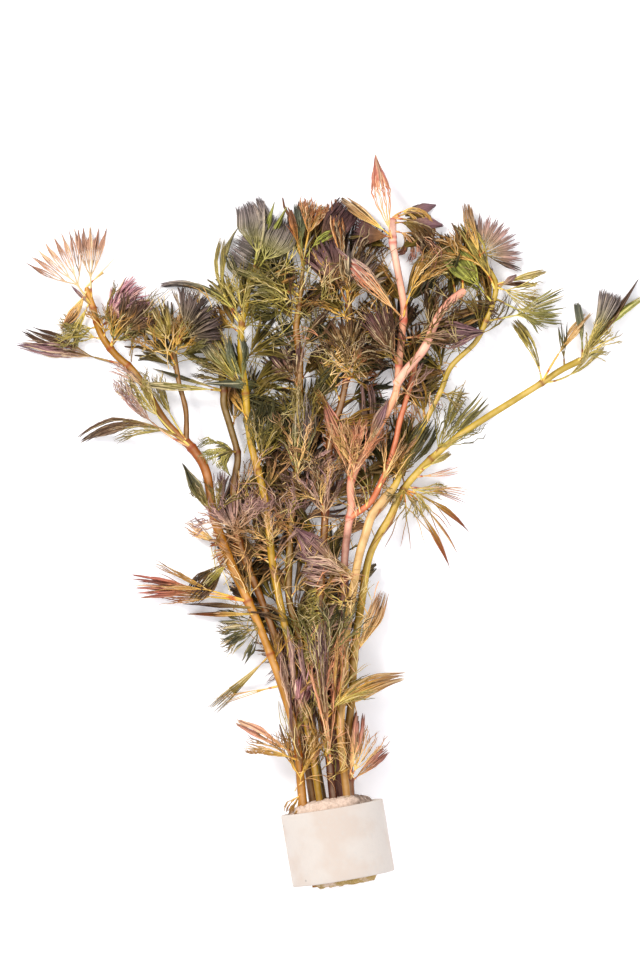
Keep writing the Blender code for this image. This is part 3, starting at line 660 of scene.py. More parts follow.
# The leaves of each mat: the stem, the base and the tip (mm), the angle that the leaf spreads over
# and the angle that it bends through (degrees), style and finish. The first lies on the mat's solid.
mats = {
    "left_tip_fan": (
        ("left_stem", (-71, 155), (-84.4, 175.2), 52, 0, "teeth", "pinkTips",
         {"forks": toothForks, "locks": 8}),
        ("left_stem", (-72, 156), (-72, 179.3), 30, 0, "teeth", "pinkTips",
         {"forks": toothForks, "locks": 5}),
        ("left_stem", (-72, 161), (-61, 172), 8, 0, "rays", "tanHairs", {"thin": 0.8, "ribbon": 0.22}),
        ("left_stem", (-71, 155), (-77.5, 161.5), 6, 0, "point", "mauveBlade"),
        ("left_stem", (-74, 160), (-81, 148.5), 18, -20, "point", "tanHairs", {"thin": 0.6}),
    ),
    "left_wet_brush": (
        ("left_stem", (-61, 138), (-94, 145), 12, 8, "brush", "mauveBlade",
         {"forks": brushForks, "taper": 0.5}),
        ("left_stem", (-61, 138), (-92, 149), 11, -14, "brush", "brownBrush",
         {"forks": brushForks, "taper": 0.5}),
        ("left_stem", (-67, 146), (-83, 149), 40, 0, "net", "limeThreads", {"waver": 0.3}),
        ("left_stem", (-68, 150), (-80, 146), 50, 20, "net", "greenBrush", {"waver": 0.3}),
        ("left_stem", (-72, 157), (-79, 143), 14, 0, "net", "limeThreads", {"thin": 0.6, "waver": 0.3}),
    ),
    "left_long_spikes": (
        ("left_stem", (-20, 54), (-38, 37), 9, -6, "rays", "oliveNet",
         {"forks": netForks, "ribbon": 0.26, "thin": 0.7}),
        ("left_stem", (-16, 46), (-37, 39), 10, 10, "rays", "goldThreads",
         {"forks": rayForks, "ribbon": 0.26, "thin": 0.4}),
        ("amber_stem", (-22, 67), (-45, 69), 4, 4, "point", "brownBrush", {"forks": earlyForks}),
        ("amber_stem", (-22, 66), (-44, 66), 4, 0, "point", "redSpikes", {"forks": earlyForks}),
        ("amber_stem", (-21, 64), (-34, 57), 80, 0, "spikes", "darkGreen", {"locks": 6, "ribbon": 0.7}),
        ("left_stem", (-22, 62), (-36, 60), 50, 0, "net", "oliveNet"),
    ),
    "lime_mid_fan": (
        ("right_stem", (27, 111), (42, 131), 40, 0, "rays", "greenBrush", {"ribbon": 0.95}),
        ("lime_stem", (17, 104), (28, 123), 20, 0, "brush", "darkGreen", {"forks": earlyForks}),
        ("right_stem", (27, 111), (38, 128), 60, 0, "net", "greenBrush", {"thin": 0.3}),
        ("right_stem", (23, 107), (33, 113), 10, 0, "brush", "limeThreads", {"forks": lateForks}),
        ("lime_stem", (30, 131), (38, 127), 60, 0, "net", "oliveNet", {"thin": 0.3}),
    ),
    "right_down_fan": (
        ("right_stem", (20, 102), (38.8, 89.4), 5, -34, "point", "redSpikes", {"forks": spikeForks}),
        ("right_stem", (20, 102), (33, 78.5), 5, -20, "point", "redSpikes", {"forks": spikeForks}),
        ("right_stem", (20, 102), (35.2, 82.8), 4, -34, "point", "redSpikes",
         {"forks": spikeForks, "thin": 0.4}),
        ("right_stem", (20, 102), (12.5, 88), 5, -20, "point", "redSpikes", {"forks": spikeForks}),
        ("right_stem", (20, 102), (10.4, 92.8), 5, 30, "point", "redSpikes", {"forks": spikeForks}),
        ("right_stem", (20, 102), (38, 92), 62, -30, "rays", "redSpikes",
         {"forks": rayForks, "ribbon": 0.3}),
        ("right_stem", (20, 102), (20, 81), 66, -14, "rays", "redSpikes",
         {"forks": rayForks, "ribbon": 0.28}),
        ("right_stem", (20, 103), (39.4, 99.4), 14, -20, "rays", "mauveHairs",
         {"forks": rayForks, "ribbon": 0.3}),
        ("right_stem", (22, 106), (36.4, 108.8), 16, 20, "rays", "rosyNet",
         {"forks": rayForks, "ribbon": 0.26}),
        ("right_stem", (21, 103), (28, 95), 60, -30, "net", "limeThreads"),
        ("right_stem", (21, 103), (16, 97), 90, 0, "net", "oliveNet"),
    ),
    "right_tip_fan": (
        ("right_stem", (71, 140), (79.8, 160.5), 19, 10, "paddle", "greyBlade",
         {"taper": 1.1, "lobe": 0.04, "bellyAt": 0.9, "shade": 1.3}),
        ("right_stem", (71, 140), (87.6, 163.6), 4, 8, "point", "brownBrush", {"forks": earlyForks}),
        ("right_stem", (71, 140), (89, 158), 7, -34, "brush", "freshGreen", {"forks": brushForks}),
        ("right_stem", (71, 140), (69.6, 156.8), 9, 12, "paddle", "tealBlade",
         {"taper": 0.9, "shade": 1.2}),
        ("right_stem", (71, 140), (77.4, 143.2), 12, 0, "point", "greyBlade"),
        ("right_stem", (71, 140), (79, 152), 40, 0, "net", "limeThreads", {"thin": 0.3}),
        ("right_stem", (70, 139), (77, 147), 50, 0, "net", "limeThreads", {"thin": 0.3}),
    ),
    "right_back_fan": (
        ("right_stem", (59, 133), (51, 151.5), 9, 34, "brush", "limeThreads",
         {"forks": netForks, "ribbon": 0.5}),
        ("right_stem", (66, 138), (64.4, 151.8), 24, 0, "rays", "darkGreen",
         {"ribbon": 0.5, "forks": rayForks, "thin": 0.3}),
        ("right_stem", (59, 133), (74, 154), 9, -18, "brush", "goldThreads",
         {"ribbon": 0.4, "forks": lateForks}),
        ("right_stem", (59, 133), (76, 146), 12, 70, "net", "limeThreads", {"forks": lateForks}),
    ),
    "yellow_pale_brush": (
        ("yellow_stem", (-28, 151), (-52, 161.4), 4, 80, "brush", "greyBlade",
         {"forks": latestForks, "waver": 0.14, "loose": 0.05}),
    ),
    "yellow_hook_fan": (
        ("yellow_stem", (-28, 150), (-33, 176), 8, -60, "brush", "limeThreads",
         {"forks": lateForks, "ribbon": 0.3}),
        ("yellow_stem", (-28, 150), (-28.6, 178.6), 4, -80, "point", "greenBrush", {"forks": lateForks}),
        ("yellow_stem", (-27, 158), (-31.5, 171.5), 20, 0, "brush", "darkGreen", {"forks": lateForks}),
        ("yellow_stem", (-28, 152), (-29, 168), 44, 0, "net", "limeThreads", {"thin": 0.4}),
        ("yellow_stem", (-28, 152), (-36, 164), 30, 0, "net", "limeThreads", {"thin": 0.5}),
    ),
    "yellow_tip_fan": (
        ("yellow_stem", (-25, 164), (-26.6, 186.6), 34, 44, "paddle", "greyBlade"),
        ("yellow_stem", (-25, 164), (-21.4, 186.6), 6, 16, "point", "greyBlade"),
        ("yellow_stem", (-25, 164), (-18.2, 186), 7, 0, "point", "freshGreen", {"under": 4.5}),
        ("yellow_stem", (-25, 164), (-14.6, 184.6), 8, 0, "point", "freshGreen", {"under": 4.5}),
        ("olive_stem", (-11, 161), (-31, 173.6), 30, 0, "paddle", "greyBlade",
         {"forks": lateForks, "shade": 1.0}),
        ("olive_stem", (-11, 158), (-31.4, 166.6), 8, 0, "brush", "greenBrush", {"forks": lateForks}),
    ),
    "yellow_grey_fan": (
        ("yellow_stem", (-27, 130), (-43.5, 151.5), 13, 6, "brush", "greyBlade", {"forks": earlyForks}),
        ("yellow_stem", (-27, 131), (-38, 149), 26, 0, "net", "limeThreads", {"thin": 0.4}),
        ("yellow_stem", (-27, 132), (-31, 147), 30, 0, "brush", "tealBlade"),
        ("yellow_stem", (-27, 132), (-43, 139), 40, 20, "net", "oliveNet", {"thin": 0.4}),
    ),
    "fork_dark_fan": (
        ("left_fork", (-48, 145), (-34, 155), 96, -10, "fur", "darkTuft",
         {"forks": domeForks, "ragged": 0.16}),
        ("left_fork", (-48, 145), (-32.5, 149), 60, -10, "fur", "darkTuft",
         {"forks": domeForks, "ragged": 0.16}),
        ("left_fork", (-47, 141), (-42, 152), 90, 0, "net", "goldThreads", {"thin": 0.3}),
        ("left_fork", (-48, 144), (-55, 155), 70, 0, "tuft", "oliveNet", {"thin": 0.3}),
        ("left_fork", (-48, 142), (-36, 142), 50, 10, "net", "greenBrush", {"thin": 0.3}),
    ),
    "fork_mauve_fan": (
        ("left_stem", (-66, 152), (-54.4, 160.5), 66, 0, "fur", "mauveFur",
         {"forks": domeForks, "ragged": 0.14, "shade": 1.1}),
        ("left_stem", (-66, 150), (-60, 158.6), 50, 0, "fur", "mauveFur",
         {"forks": domeForks, "ragged": 0.14, "shade": 1.1}),
        ("left_fork", (-47, 138), (-55, 155), 84, 0, "net", "goldThreads", {"thin": 0.2}),
        ("left_stem", (-66, 143), (-62, 157), 40, 0, "net", "goldThreads", {"thin": 0.3}),
    ),
    "left_inner_fan": (
        ("left_stem", (-66, 143), (-55, 158), 54, 0, "fur", "brownBrush"),
        ("left_stem", (-66, 143), (-60, 154), 90, 0, "net", "greenBrush"),
        ("left_stem", (-68, 146), (-66, 157), 60, 0, "net", "goldThreads"),
    ),
    "left_net": (
        ("left_stem", (-43, 114), (-60, 138), 24, -36, "net", "limeThreads",
         {"forks": hangForks, "waver": 0.4}),
        ("left_stem", (-43, 114), (-64, 136), 16, -44, "net", "mauveHairs",
         {"forks": hangForks, "waver": 0.4}),
        ("left_stem", (-43, 114), (-54, 137), 14, -20, "net", "limeThreads",
         {"forks": hangForks, "waver": 0.4, "thin": 0.4}),
        ("left_stem", (-56, 131), (-66, 140), 26, 10, "net", "mauveHairs", {"thin": 0.4}),
    ),
    "left_low_brush": (
        ("left_stem", (-43, 114), (-75.5, 115.6), 9, 84, "brush", "brownBrush",
         {"forks": lateForks, "taper": 0.6, "loose": 0.1}),
        ("left_stem", (-43, 114), (-66, 117), 22, 76, "net", "limeThreads",
         {"forks": lateForks, "thin": 0.3}),
    ),
    "amber_side_brush": (
        ("amber_stem", (-33, 131), (-57, 133), 8, 0, "brush", "greenBrush"),
        ("amber_stem", (-33, 131), (-54, 137.5), 4, 0, "point", "darkGreen", {"thin": 0.4}),
    ),
    "olive_grey_fan": (
        ("yellow_stem", (-25, 164), (-15.4, 181.4), 42, 20, "paddle", "greyBlade",
         {"lobe": 0.04, "taper": 0.95}),
        ("olive_stem", (-10, 167), (-11.2, 186), 15, 0, "brush", "tealBlade",
         {"forks": lateForks, "ribbon": 0.5}),
        ("olive_stem", (-10, 167), (-15.4, 179.4), 3, 50, "point", "redSpikes", {"thin": 0.5}),
        ("olive_stem", (-10, 167), (-6.5, 176.5), 2, -40, "point", "greyBlade", {"thin": 0.7}),
    ),
    "olive_orange_fan": (
        ("olive_stem", (-10, 167), (-5.5, 187.5), 38, -10, "net", "orangeFan",
         {"forks": tipForks, "ribbon": 0.42}),
        ("olive_stem", (-10, 167), (-6, 186.5), 30, -10, "net", "goldThreads",
         {"forks": tipForks, "ribbon": 0.36}),
        ("olive_stem", (-10, 167), (-14, 183.6), 9, 0, "brush", "orangeFan", {"forks": lateForks}),
        ("olive_stem", (-10, 167), (1.8, 177.6), 16, -70, "brush", "freshGreen",
         {"forks": lateForks, "ribbon": 0.5}),
    ),
    "brown_tip_fan": (
        ("olive_stem", (-10, 167), (3.6, 185.2), 26, 0, "paddle", "purpleBlade",
         {"forks": lateForks, "taper": 0.95}),
        ("brown_stem", (3, 157), (-1, 187), 10, 0, "brush", "orangeFan", {"forks": lateForks}),
        ("brown_stem", (3, 157), (12, 171), 64, -20, "tuft", "darkTuft"),
        ("brown_stem", (3, 157), (10, 181), 44, -20, "net", "brownBrush", {"ribbon": 0.4}),
        ("brown_stem", (3, 157), (7, 172), 60, -20, "tuft", "brownBrush"),
        ("brown_stem", (3, 157), (2, 170), 60, 0, "net", "goldThreads", {"thin": 0.3}),
    ),
    "olive_thread_fan": (
        ("olive_stem", (-11, 156), (-28, 164), 56, 0, "net", "limeThreads"),
        ("olive_stem", (-11, 154), (-26, 158), 44, 0, "brush", "greenBrush"),
        ("olive_stem", (-11, 158), (-24, 170), 30, 0, "net", "greenBrush"),
    ),
    "brown_mauve_fan": (
        ("brown_stem", (2, 155), (-6, 175), 40, 0, "blade", "purpleBlade", {"forks": furForks}),
        ("brown_stem", (2, 150), (-6, 164), 90, 0, "net", "goldThreads"),
    ),
    "brown_net": (
        ("brown_stem", (2, 134), (4, 149), 90, 0, "net", "brownBrush"),
        ("brown_stem", (4, 137), (11, 147), 90, 0, "net", "brownBrush"),
        ("brown_stem", (2, 134), (12, 138), 90, 0, "net", "redSpikes"),
        ("brown_stem", (3, 140), (2, 154), 90, 0, "tuft", "brownBrush"),
    ),
    "olive_column_brush": (
        ("olive_stem", (-12, 103), (-10, 131), 26, 0, "brush", "greyBlade"),
        ("olive_stem", (-13, 100), (-6, 128), 20, 0, "brush", "darkTuft"),
        ("olive_stem", (-11, 131), (-39, 133), 8, 10, "point", "tealBlade"),
        ("olive_stem", (-11, 131), (-18, 145), 60, 0, "tuft", "purpleBlade"),
        ("olive_stem", (-13, 105), (-8, 126), 60, 0, "net", "tanHairs"),
        ("olive_stem", (-12, 114), (-9, 136), 50, 0, "net", "oliveNet"),
    ),
    "yellow_green_brush": (
        ("yellow_stem", (-23, 108), (-20, 130), 46, 0, "brush", "darkGreen"),
        ("yellow_stem", (-23, 108), (-17, 126), 50, 0, "net", "oliveNet"),
    ),
    "lime_right_brush": (
        ("lime_stem", (43, 151), (68, 156), 30, 0, "rays", "paleGreen", {"forks": fanForks, "ribbon": 0.6}),
        ("lime_stem", (46, 162), (61, 166), 9, 0, "brush", "limeThreads"),
        ("lime_stem", (46, 161), (60, 156), 44, 0, "net", "limeThreads"),
        ("lime_stem", (45, 158), (62, 150), 30, 0, "net", "paleGreen", {"forks": lateForks}),
        ("lime_stem", (46, 162), (58, 162), 9, 0, "point", "purpleBlade", {"thin": 0.3}),
    ),
    "lime_tooth_fan": (
        ("lime_stem", (40, 169), (51, 178.6), 122, 0, "blade", "mauvePale", {"locks": 11, "lobe": 0.3}),
        ("lime_stem", (46, 160), (52, 164.6), 18, 0, "paddle", "mauvePale", {"taper": 0.3}),
        ("lime_stem", (45, 156), (32, 172.6), 28, 0, "paddle", "freshGreen",
         {"arch": 9.0, "taper": 1.0, "shade": 1.0}),
        ("lime_stem", (42, 168), (37.4, 186), 12, -14, "brush", "paleBrush"),
        ("lime_stem", (44.4, 160), (24, 167), 22, 120, "curl", "goldThreads", {"forks": brushForks}),
        ("lime_stem", (44.4, 160), (34.5, 180), 14, 20, "brush", "limeThreads"),
    ),
    "pink_olive_curl": (
        ("pink_stem", (16, 181), (24.6, 173.4), 24, -180, "brush", "goldThreads"),
        ("pink_stem", (16, 181), (28.8, 185), 18, 0, "paddle", "mauveBlade",
         {"forks": lateForks, "taper": 0.2}),
        ("pink_stem", (16, 181), (31, 179), 18, 0, "paddle", "mauveBlade",
         {"forks": lateForks, "taper": 0.2}),
        ("pink_stem", (16, 179), (25, 170), 26, -120, "curl", "brownBrush"),
        ("pink_stem", (16, 177), (20, 167), 44, -150, "net", "rosyNet", {"thin": 0.5}),
    ),
    "pink_pale_brush": (
        ("pink_stem", (16, 175), (1, 187), 10, 0, "brush", "paleBrush"),
        ("pink_stem", (16, 175), (4, 177), 44, 0, "blade", "purpleBlade"),
    ),
    "pink_top_brush": (
        ("pink_stem", (16, 174), (11, 200), 17, -10, "point", "roseBrush",
         {"forks": netForks, "waver": 0.3}),
    ),
    "pink_dark_tuft": (
        ("pink_stem", (18, 138), (9, 157), 38, 0, "tuft", "purpleBlade"),
        ("pink_stem", (18, 138), (7, 150), 60, 0, "net", "brownBrush"),
    ),
    "pink_arch_leaf": (
        ("pink_stem", (19, 151), (35, 172), 24, -66, "curl", "goldThreads",
         {"forks": brushForks, "thin": 0.4}),
        ("pink_fork", (34, 158), (27, 176), 44, 30, "net", "oliveNet", {"forks": brushForks}),
        ("pink_fork", (36, 160), (31, 179), 30, 36, "curl", "goldThreads", {"forks": brushForks}),
        ("pink_fork", (26, 146), (36, 160), 60, -40, "net", "brownBrush"),
    ),
    "pink_rose_brush": (
        ("pink_stem", (19, 152), (-1, 173), 17, 0, "point", "mauvePale", {"forks": netForks, "arch": 7.0}),
        ("pink_stem", (19, 152), (0, 171), 14, 0, "point", "roseBrush",
         {"forks": netForks, "arch": 7.0, "thin": 0.5}),
    ),
    "pink_side_brush": (
        ("pink_stem", (19, 146), (43, 148), 26, 0, "point", "mauveBlade", {"forks": netForks}),
        ("pink_stem", (19, 144), (39, 150), 44, 0, "net", "brownBrush", {"thin": 0.5}),
        ("pink_fork", (34, 158), (46, 150), 40, -20, "net", "brownBrush"),
    ),
    "pink_mid_fan": (
        ("pink_stem", (4, 105), (5, 125), 60, 0, "net", "tanHairs"),
        ("pink_stem", (1, 108), (-5, 131), 14, 0, "point", "rosyNet"),
        ("rose_branch", (11, 102), (21, 120), 24, 0, "net", "tanHairs"),
        ("pink_stem", (8, 113), (15, 129), 14, 0, "point", "mauveBlade"),
        ("pink_stem", (4, 103), (8, 124), 40, 0, "net", "salmonTuft"),
        ("pink_stem", (4, 103), (0, 122), 40, 0, "net", "salmonTuft"),
    ),
    "brown_thread_fan": (
        ("brown_stem", (-3, 96), (-9, 114), 66, 0, "net", "brownBrush"),
        ("brown_stem", (-3, 96), (-10, 112), 90, 0, "net", "tanHairs"),
        ("brown_stem", (-4, 92), (-4, 110), 60, 0, "net", "mauveHairs"),
    ),
    "amber_loop": (
        ("amber_stem", (-29, 113), (-38, 108), 80, 90, "curl", "paleGreen"),
        ("amber_stem", (-29, 113), (-36, 112), 80, 30, "tuft", "darkGreen"),
    ),
    "left_spike_fan": (
        ("left_stem", (-34, 94), (-45, 110), 15, 0, "point", "darkGreen", {"forks": earlyForks}),
        ("left_stem", (-35, 93), (-36, 106), 60, 0, "net", "oliveNet"),
    ),
    "amber_mauve_fan": (
        ("amber_stem", (-29, 87), (-32, 103), 84, 0, "net", "mauveHairs", {"ribbon": 0.4, "arch": 5.0}),
        ("amber_stem", (-29, 87), (-34, 100), 50, 0, "fur", "mauveHairs",
         {"forks": domeForks, "arch": 5.0, "thin": 0.4}),
        ("yellow_stem", (-20, 84), (-17, 104), 60, 10, "net", "mauveHairs", {"waver": 0.3}),
        ("yellow_stem", (-20, 84), (-22, 99), 110, 0, "net", "tanHairs"),
        ("amber_stem", (-29, 87), (-38, 84), 90, 0, "spikes", "redSpikes"),
    ),
    "left_pink_brush": (
        ("left_stem", (-26, 70), (-61, 74), 16, 14, "spikes", "roseBrush",
         {"locks": 5, "forks": lateForks, "ribbon": 0.7}),
        ("left_stem", (-31, 82), (-43, 70), 26, 0, "brush", "brownBrush", {"forks": earlyForks}),
        ("left_stem", (-30, 82), (-41, 72), 20, 0, "brush", "greenBrush",
         {"forks": earlyForks, "thin": 0.3}),
        ("left_stem", (-26, 70), (-56, 77), 20, 8, "net", "goldThreads", {"thin": 0.4, "forks": lateForks}),
        ("left_stem", (-26, 70), (-54, 72), 24, 8, "net", "redSpikes", {"thin": 0.4, "forks": lateForks}),
        ("left_stem", (-38, 84), (-46, 92), 24, 0, "net", "tanHairs", {"thin": 0.7}),
    ),
    "pink_low_brush": (
        ("pink_stem", (4, 77), (-13.5, 92), 26, 6, "point", "mauveBlade", {"forks": earlyForks}),
        ("right_stem", (9, 76), (-13, 84), 24, 8, "brush", "mauveBlade", {"forks": earlyForks}),
        ("right_stem", (8, 76), (-11, 79), 30, 0, "brush", "mauveHairs"),
        ("pink_stem", (0, 64), (-9, 73), 110, 0, "net", "limeThreads"),
        ("lime_stem", (4, 70), (-10, 66), 50, 20, "brush", "limeThreads", {"ribbon": 0.34}),
        ("lime_stem", (4, 72), (-8, 60), 40, 20, "net", "limeThreads"),
    ),
    "low_red_brush": (
        ("right_stem", (6, 53), (13, 73), 12, 8, "brush", "tanHairs", {"forks": earlyForks}),
        ("lime_stem", (3, 66), (-5, 50), 30, 10, "brush", "salmonTuft"),
        ("lime_stem", (3, 60), (-4, 42), 24, 10, "brush", "salmonTuft", {"thin": 0.3}),
    ),
    "low_left_brush": (
        ("left_stem", (-12, 25), (-30, 35), 9, 4, "brush", "rosyNet", {"ribbon": 0.7}),
        ("left_stem", (-12, 24), (-27, 30), 30, 4, "net", "goldThreads", {"thin": 0.3}),
        ("left_stem", (-10, 15), (-12, 35), 50, 0, "net", "goldThreads"),
        ("left_stem", (-11, 15), (-14.4, 7.7), 24, 0, "brush", "goldThreads", {"thin": 0.5}),
    ),
    "low_corner_brush": (
        ("right_stem", (3, 18), (6, 38), 11, 0, "brush", "rosyNet", {"ribbon": 0.7, "thread": 0.36}),
        ("right_stem", (3, 17), (15, 27), 16, 0, "brush", "rosyNet", {"thin": 0.3}),
        ("right_stem", (3, 18), (11, 34), 40, 0, "net", "tanHairs", {"thin": 0.4}),
    ),
    "low_centre_fan": (
        ("brown_stem", (-5, 35), (-7, 66), 42, 0, "net", "oliveNet"),
        ("left_stem", (-9, 24), (-13, 60), 12, 4, "brush", "mauveHairs", {"ribbon": 0.34, "waver": 0.4}),
        ("left_stem", (-8, 16), (-11, 48), 12, 0, "brush", "purpleBlade"),
        ("left_stem", (-12, 30), (-16, 63), 10, -3, "brush", "mauveHairs", {"ribbon": 0.34, "waver": 0.4}),
        ("yellow_stem", (-8, 30), (-6, 62), 16, 6, "net", "limeThreads", {"ribbon": 0.34}),
        ("brown_stem", (-3, 20), (-4, 56), 13, 3, "net", "salmonTuft"),
        ("left_stem", (-10, 34), (-8, 52), 26, 0, "tuft", "mauveFur", {"thin": 0.3}),
        ("brown_stem", (-3, 26), (-6, 66), 9, 0, "net", "purpleBlade", {"ribbon": 0.34, "waver": 0.4}),
        ("pink_stem", (0, 30), (1, 62), 12, 0, "net", "goldThreads"),
        ("brown_stem", (-4, 20), (-8, 44), 30, 0, "net", "goldThreads"),
        ("brown_stem", (-5, 50), (2, 72), 44, 30, "net", "darkGreen"),
        ("brown_stem", (-5, 44), (-7, 72), 60, 0, "net", "greenBrush"),
    ),
    "low_right_brush": (
        ("brown_stem", (-5, 35), (20, 48), 16, -46, "point", "goldThreads",
         {"forks": earlyForks, "bellyAt": 0.4, "taper": 0.4}),
        ("brown_stem", (-4, 36), (12, 46), 26, -46, "net", "limeThreads", {"thin": 0.3}),
    ),
}


# Small leaves at the other joints: the stem, from and to (mm above the ring), the gap between
# joints and the leaf length (mm), the share of them that lies under the stems, and the finishes.
low = ("goldThreads", "salmonTuft", "tanHairs", "oliveNet")
middle = ("tanHairs", "mauveHairs", "oliveNet", "tanHairs", "brownBrush")
upper = ("oliveNet", "greenBrush", "goldThreads", "oliveNet")
dark = ("brownBrush", "oliveNet", "darkGreen", "goldThreads")
whorls = (
    ("left_stem", 18, 62, 11, 12, 0.4, low),
    ("left_stem", 66, 104, 9, 15, 0.7, middle),
    ("left_stem", 112, 156, 10, 13, 0.7, upper),
    ("amber_stem", 66, 130, 13, 14, 0.8, middle),
    ("yellow_stem", 60, 108, 10, 15, 0.6, middle),
    ("yellow_stem", 112, 160, 9, 16, 0.8, upper),
    ("olive_stem", 50, 112, 10, 15, 0.6, middle),
    ("olive_stem", 116, 164, 8, 17, 0.7, dark),
    ("brown_stem", 48, 110, 10, 15, 0.6, middle),
    ("brown_stem", 112, 156, 8, 17, 0.5, dark),
    ("pink_stem", 60, 96, 12, 13, 0.7, low),
    ("pink_stem", 98, 132, 8, 17, 0.8, middle),
    ("pink_stem", 136, 178, 9, 16, 1.0, dark),
    ("lime_stem", 92, 130, 10, 13, 0.7, upper),
    ("lime_stem", 134, 168, 9, 15, 0.7, upper),
    ("right_stem", 92, 118, 12, 12, 0.8, upper),
    ("pink_fork", 134, 160, 7, 17, 0.9, dark),
    ("rose_branch", 98, 142, 9, 15, 0.85, dark),
    ("left_fork", 118, 146, 9, 13, 0.7, upper),
)
# Forked sprigs across the heap: left, low, right and high edge (mm), how many, length and finishes.
sprigs = (
    (-16, 8, 10, 50, 110, 14, ("goldThreads", "limeThreads", "tanHairs", "rosyNet")),
    (-40, 50, -12, 112, 130, 16, ("tanHairs", "mauveHairs", "limeThreads", "tanHairs")),
    (-14, 50, 16, 112, 150, 16, ("limeThreads", "tanHairs", "goldThreads", "salmonTuft")),
    (-28, 112, 2, 142, 80, 16, ("oliveNet", "greenBrush", "brownBrush", "limeThreads")),
    (-4, 96, 30, 140, 170, 16, ("tanHairs", "goldThreads", "salmonTuft", "tanHairs", "rosyNet")),
    (-66, 136, -36, 160, 80, 15, ("oliveNet", "goldThreads", "greenBrush")),
    (-30, 138, -4, 172, 90, 15, ("greenBrush", "limeThreads", "oliveNet")),
    (-6, 134, 18, 168, 100, 16, ("goldThreads", "brownBrush", "tanHairs", "oliveNet")),
    (26, 140, 46, 172, 70, 14, ("goldThreads", "oliveNet", "limeThreads")),
)
# The dense part of the bunch: height above the ring, its left and its right edge (mm).
heapEdges = (
    (8, -14, 4), (18, -13, 5), (27, -15, 8), (41, -19, 5), (53, -22, 7), (64, -31, 10), (76, -35, 12),
    (88, -38, 13), (99, -37, 17), (106, -33, 18), (111, -27, 23), (122, -28, 28), (134, -33, 32),
    (139, -60, 36), (146, -65, 41), (157, -65, 44), (161, -58, 46), (165, -29, 46), (178, -27, 42),
    (185, -25, 30), (188, -24, 12),
)
heapFoot = 14  # mm above the ring, where the dense part begins
heapGaps = (  # where the floor shows through: middle and half sizes (mm)
    (-38.5, 124, 5.5, 8), (-41.4, 137, 5, 3), (-5.7, 117.5, 2.6, 5.5), (13.2, 132, 2.3, 7),
    (7.1, 86, 2.6, 4.5), (14, 91, 3, 8), (-20, 151.5, 2, 3), (3.6, 161, 3, 4), (21, 166, 3.4, 7),
    (-11.8, 75, 2.4, 6), (-5.2, 98, 2, 5), (0.6, 100.5, 2, 6), (2.5, 128, 3.6, 6),
)
# Styles that have dark threads behind them, as painted shade deep in the heap.
paintedShadeStyles = ("blade", "paddle", "fur", "tuft", "brush", "net", "curl")
bareStems = {  # from and to (mm above the ring): where a stem lies bare on top
    "left_stem": (34, 152), "left_fork": (117, 140), "amber_stem": (60, 90), "yellow_stem": (64, 156),
    "olive_stem": (132, 167), "brown_stem": (86, 130), "pink_stem": (88, 181), "pink_fork": (130, 162),
    "rose_branch": (94, 142), "lime_stem": (82, 170), "right_stem": (80, 142),
}


def ramped(value):  # from 0 to 1, easing in and out
    value = np.clip(value, 0, 1)
    return value * value * (3 - 2 * value)


def forkSteps(style, counts, lockLane, within, draw):
    # How far each thread of each fork moves across and up from the one it leaves.
    total = counts[-1]
    tips = np.arange(total)
    lockMean, withinMean = np.zeros(1), np.zeros(1)
    steps = []
    for level, count in enumerate(counts):
        group = tips * count // total
        size = np.bincount(group)
        lockNow = np.bincount(group, lockLane) / size
        withinNow = np.bincount(group, within) / size
        parent = np.arange(count) * len(lockMean) // count
        steps.append({
            "lock": lockNow - lockMean[parent],
            "within": withinNow - withinMean[parent],
            "drift": draw.normal(0, style["loose"], count) / (1 + 0.4 * level),
            "lift": draw.normal(0, style["lift"], count) / (1 + 0.6 * level),
        })
        lockMean, withinMean = lockNow, withinNow
    return steps


def treeOfThreads(style, draw):
    # Every thread of a leaf, by the share of the length and the lane across it, from -1 to 1.
    at = [fork[0] for fork in style["forks"]]
    counts = np.cumprod([fork[1] for fork in style["forks"]])
    total = counts[-1]
    tips = np.arange(total)
    locks = style["locks"] or total
    lockOf = tips * locks // total
    lockLane = (lockOf + 0.5) / locks * 2 - 1
    within = (tips + 0.5) / total * 2 - 1 - lockLane
    lockShade = draw.random(locks)
    tipReach = 1 - draw.random(total) * style["ragged"] * 2
    if style["locks"] > 1:
        tipReach -= style["lobe"] * np.abs(within * locks) ** 1.5
    steps = forkSteps(style, counts, lockLane, within, draw)
    threads = []
    for level, count in enumerate(counts):
        last = level == len(counts) - 1
        for index in range(count):
            tipIndex = (index * total) // count
            end = tipReach[tipIndex] if last else at[level + 1]
            share = np.linspace(at[level], end, 7 if last else max(4, round((end - at[level]) * 24)))
            lane, inside, lift = np.zeros_like(share), np.zeros_like(share), np.zeros_like(share)
            for j in range(level + 1):
                own = index * counts[j] // count
                reach = at[j + 1] - at[j] if j + 1 < len(at) else style["open"]
                turn = ramped((share - at[j]) / (reach * 1.25))
                stray = np.clip((share - at[j]) / 0.4, 0, 1.6)
                lane += steps[j]["lock"][own] * turn
                inside += steps[j]["within"][own] * turn
                lane += steps[j]["drift"][own] * stray
                lift += steps[j]["lift"][own] * stray
            closing = ramped((share - style["pinchFrom"]) / (1.0 - style["pinchFrom"] + 1e-6))
            lane += inside * (1 - (1 - style["pinch"]) * closing)
            run = (share - share[0]) / (share[-1] - share[0])
            wave = np.sin(math.tau * (run * draw.uniform(0.8, 1.6) + draw.random())) * run * (1.2 - run)
            lane += wave * style["waver"]
            threads.append({
                "share": share, "lane": lane, "lift": lift, "last": last, "level": level,
                "own": (level, index),
                "parent": (level - 1, index * counts[level - 1] // count if level else 0),
                "shade": (0.45 * lockShade[lockOf[tipIndex]] + 0.55 * draw.random()) * style["shade"],
            })
    return threads


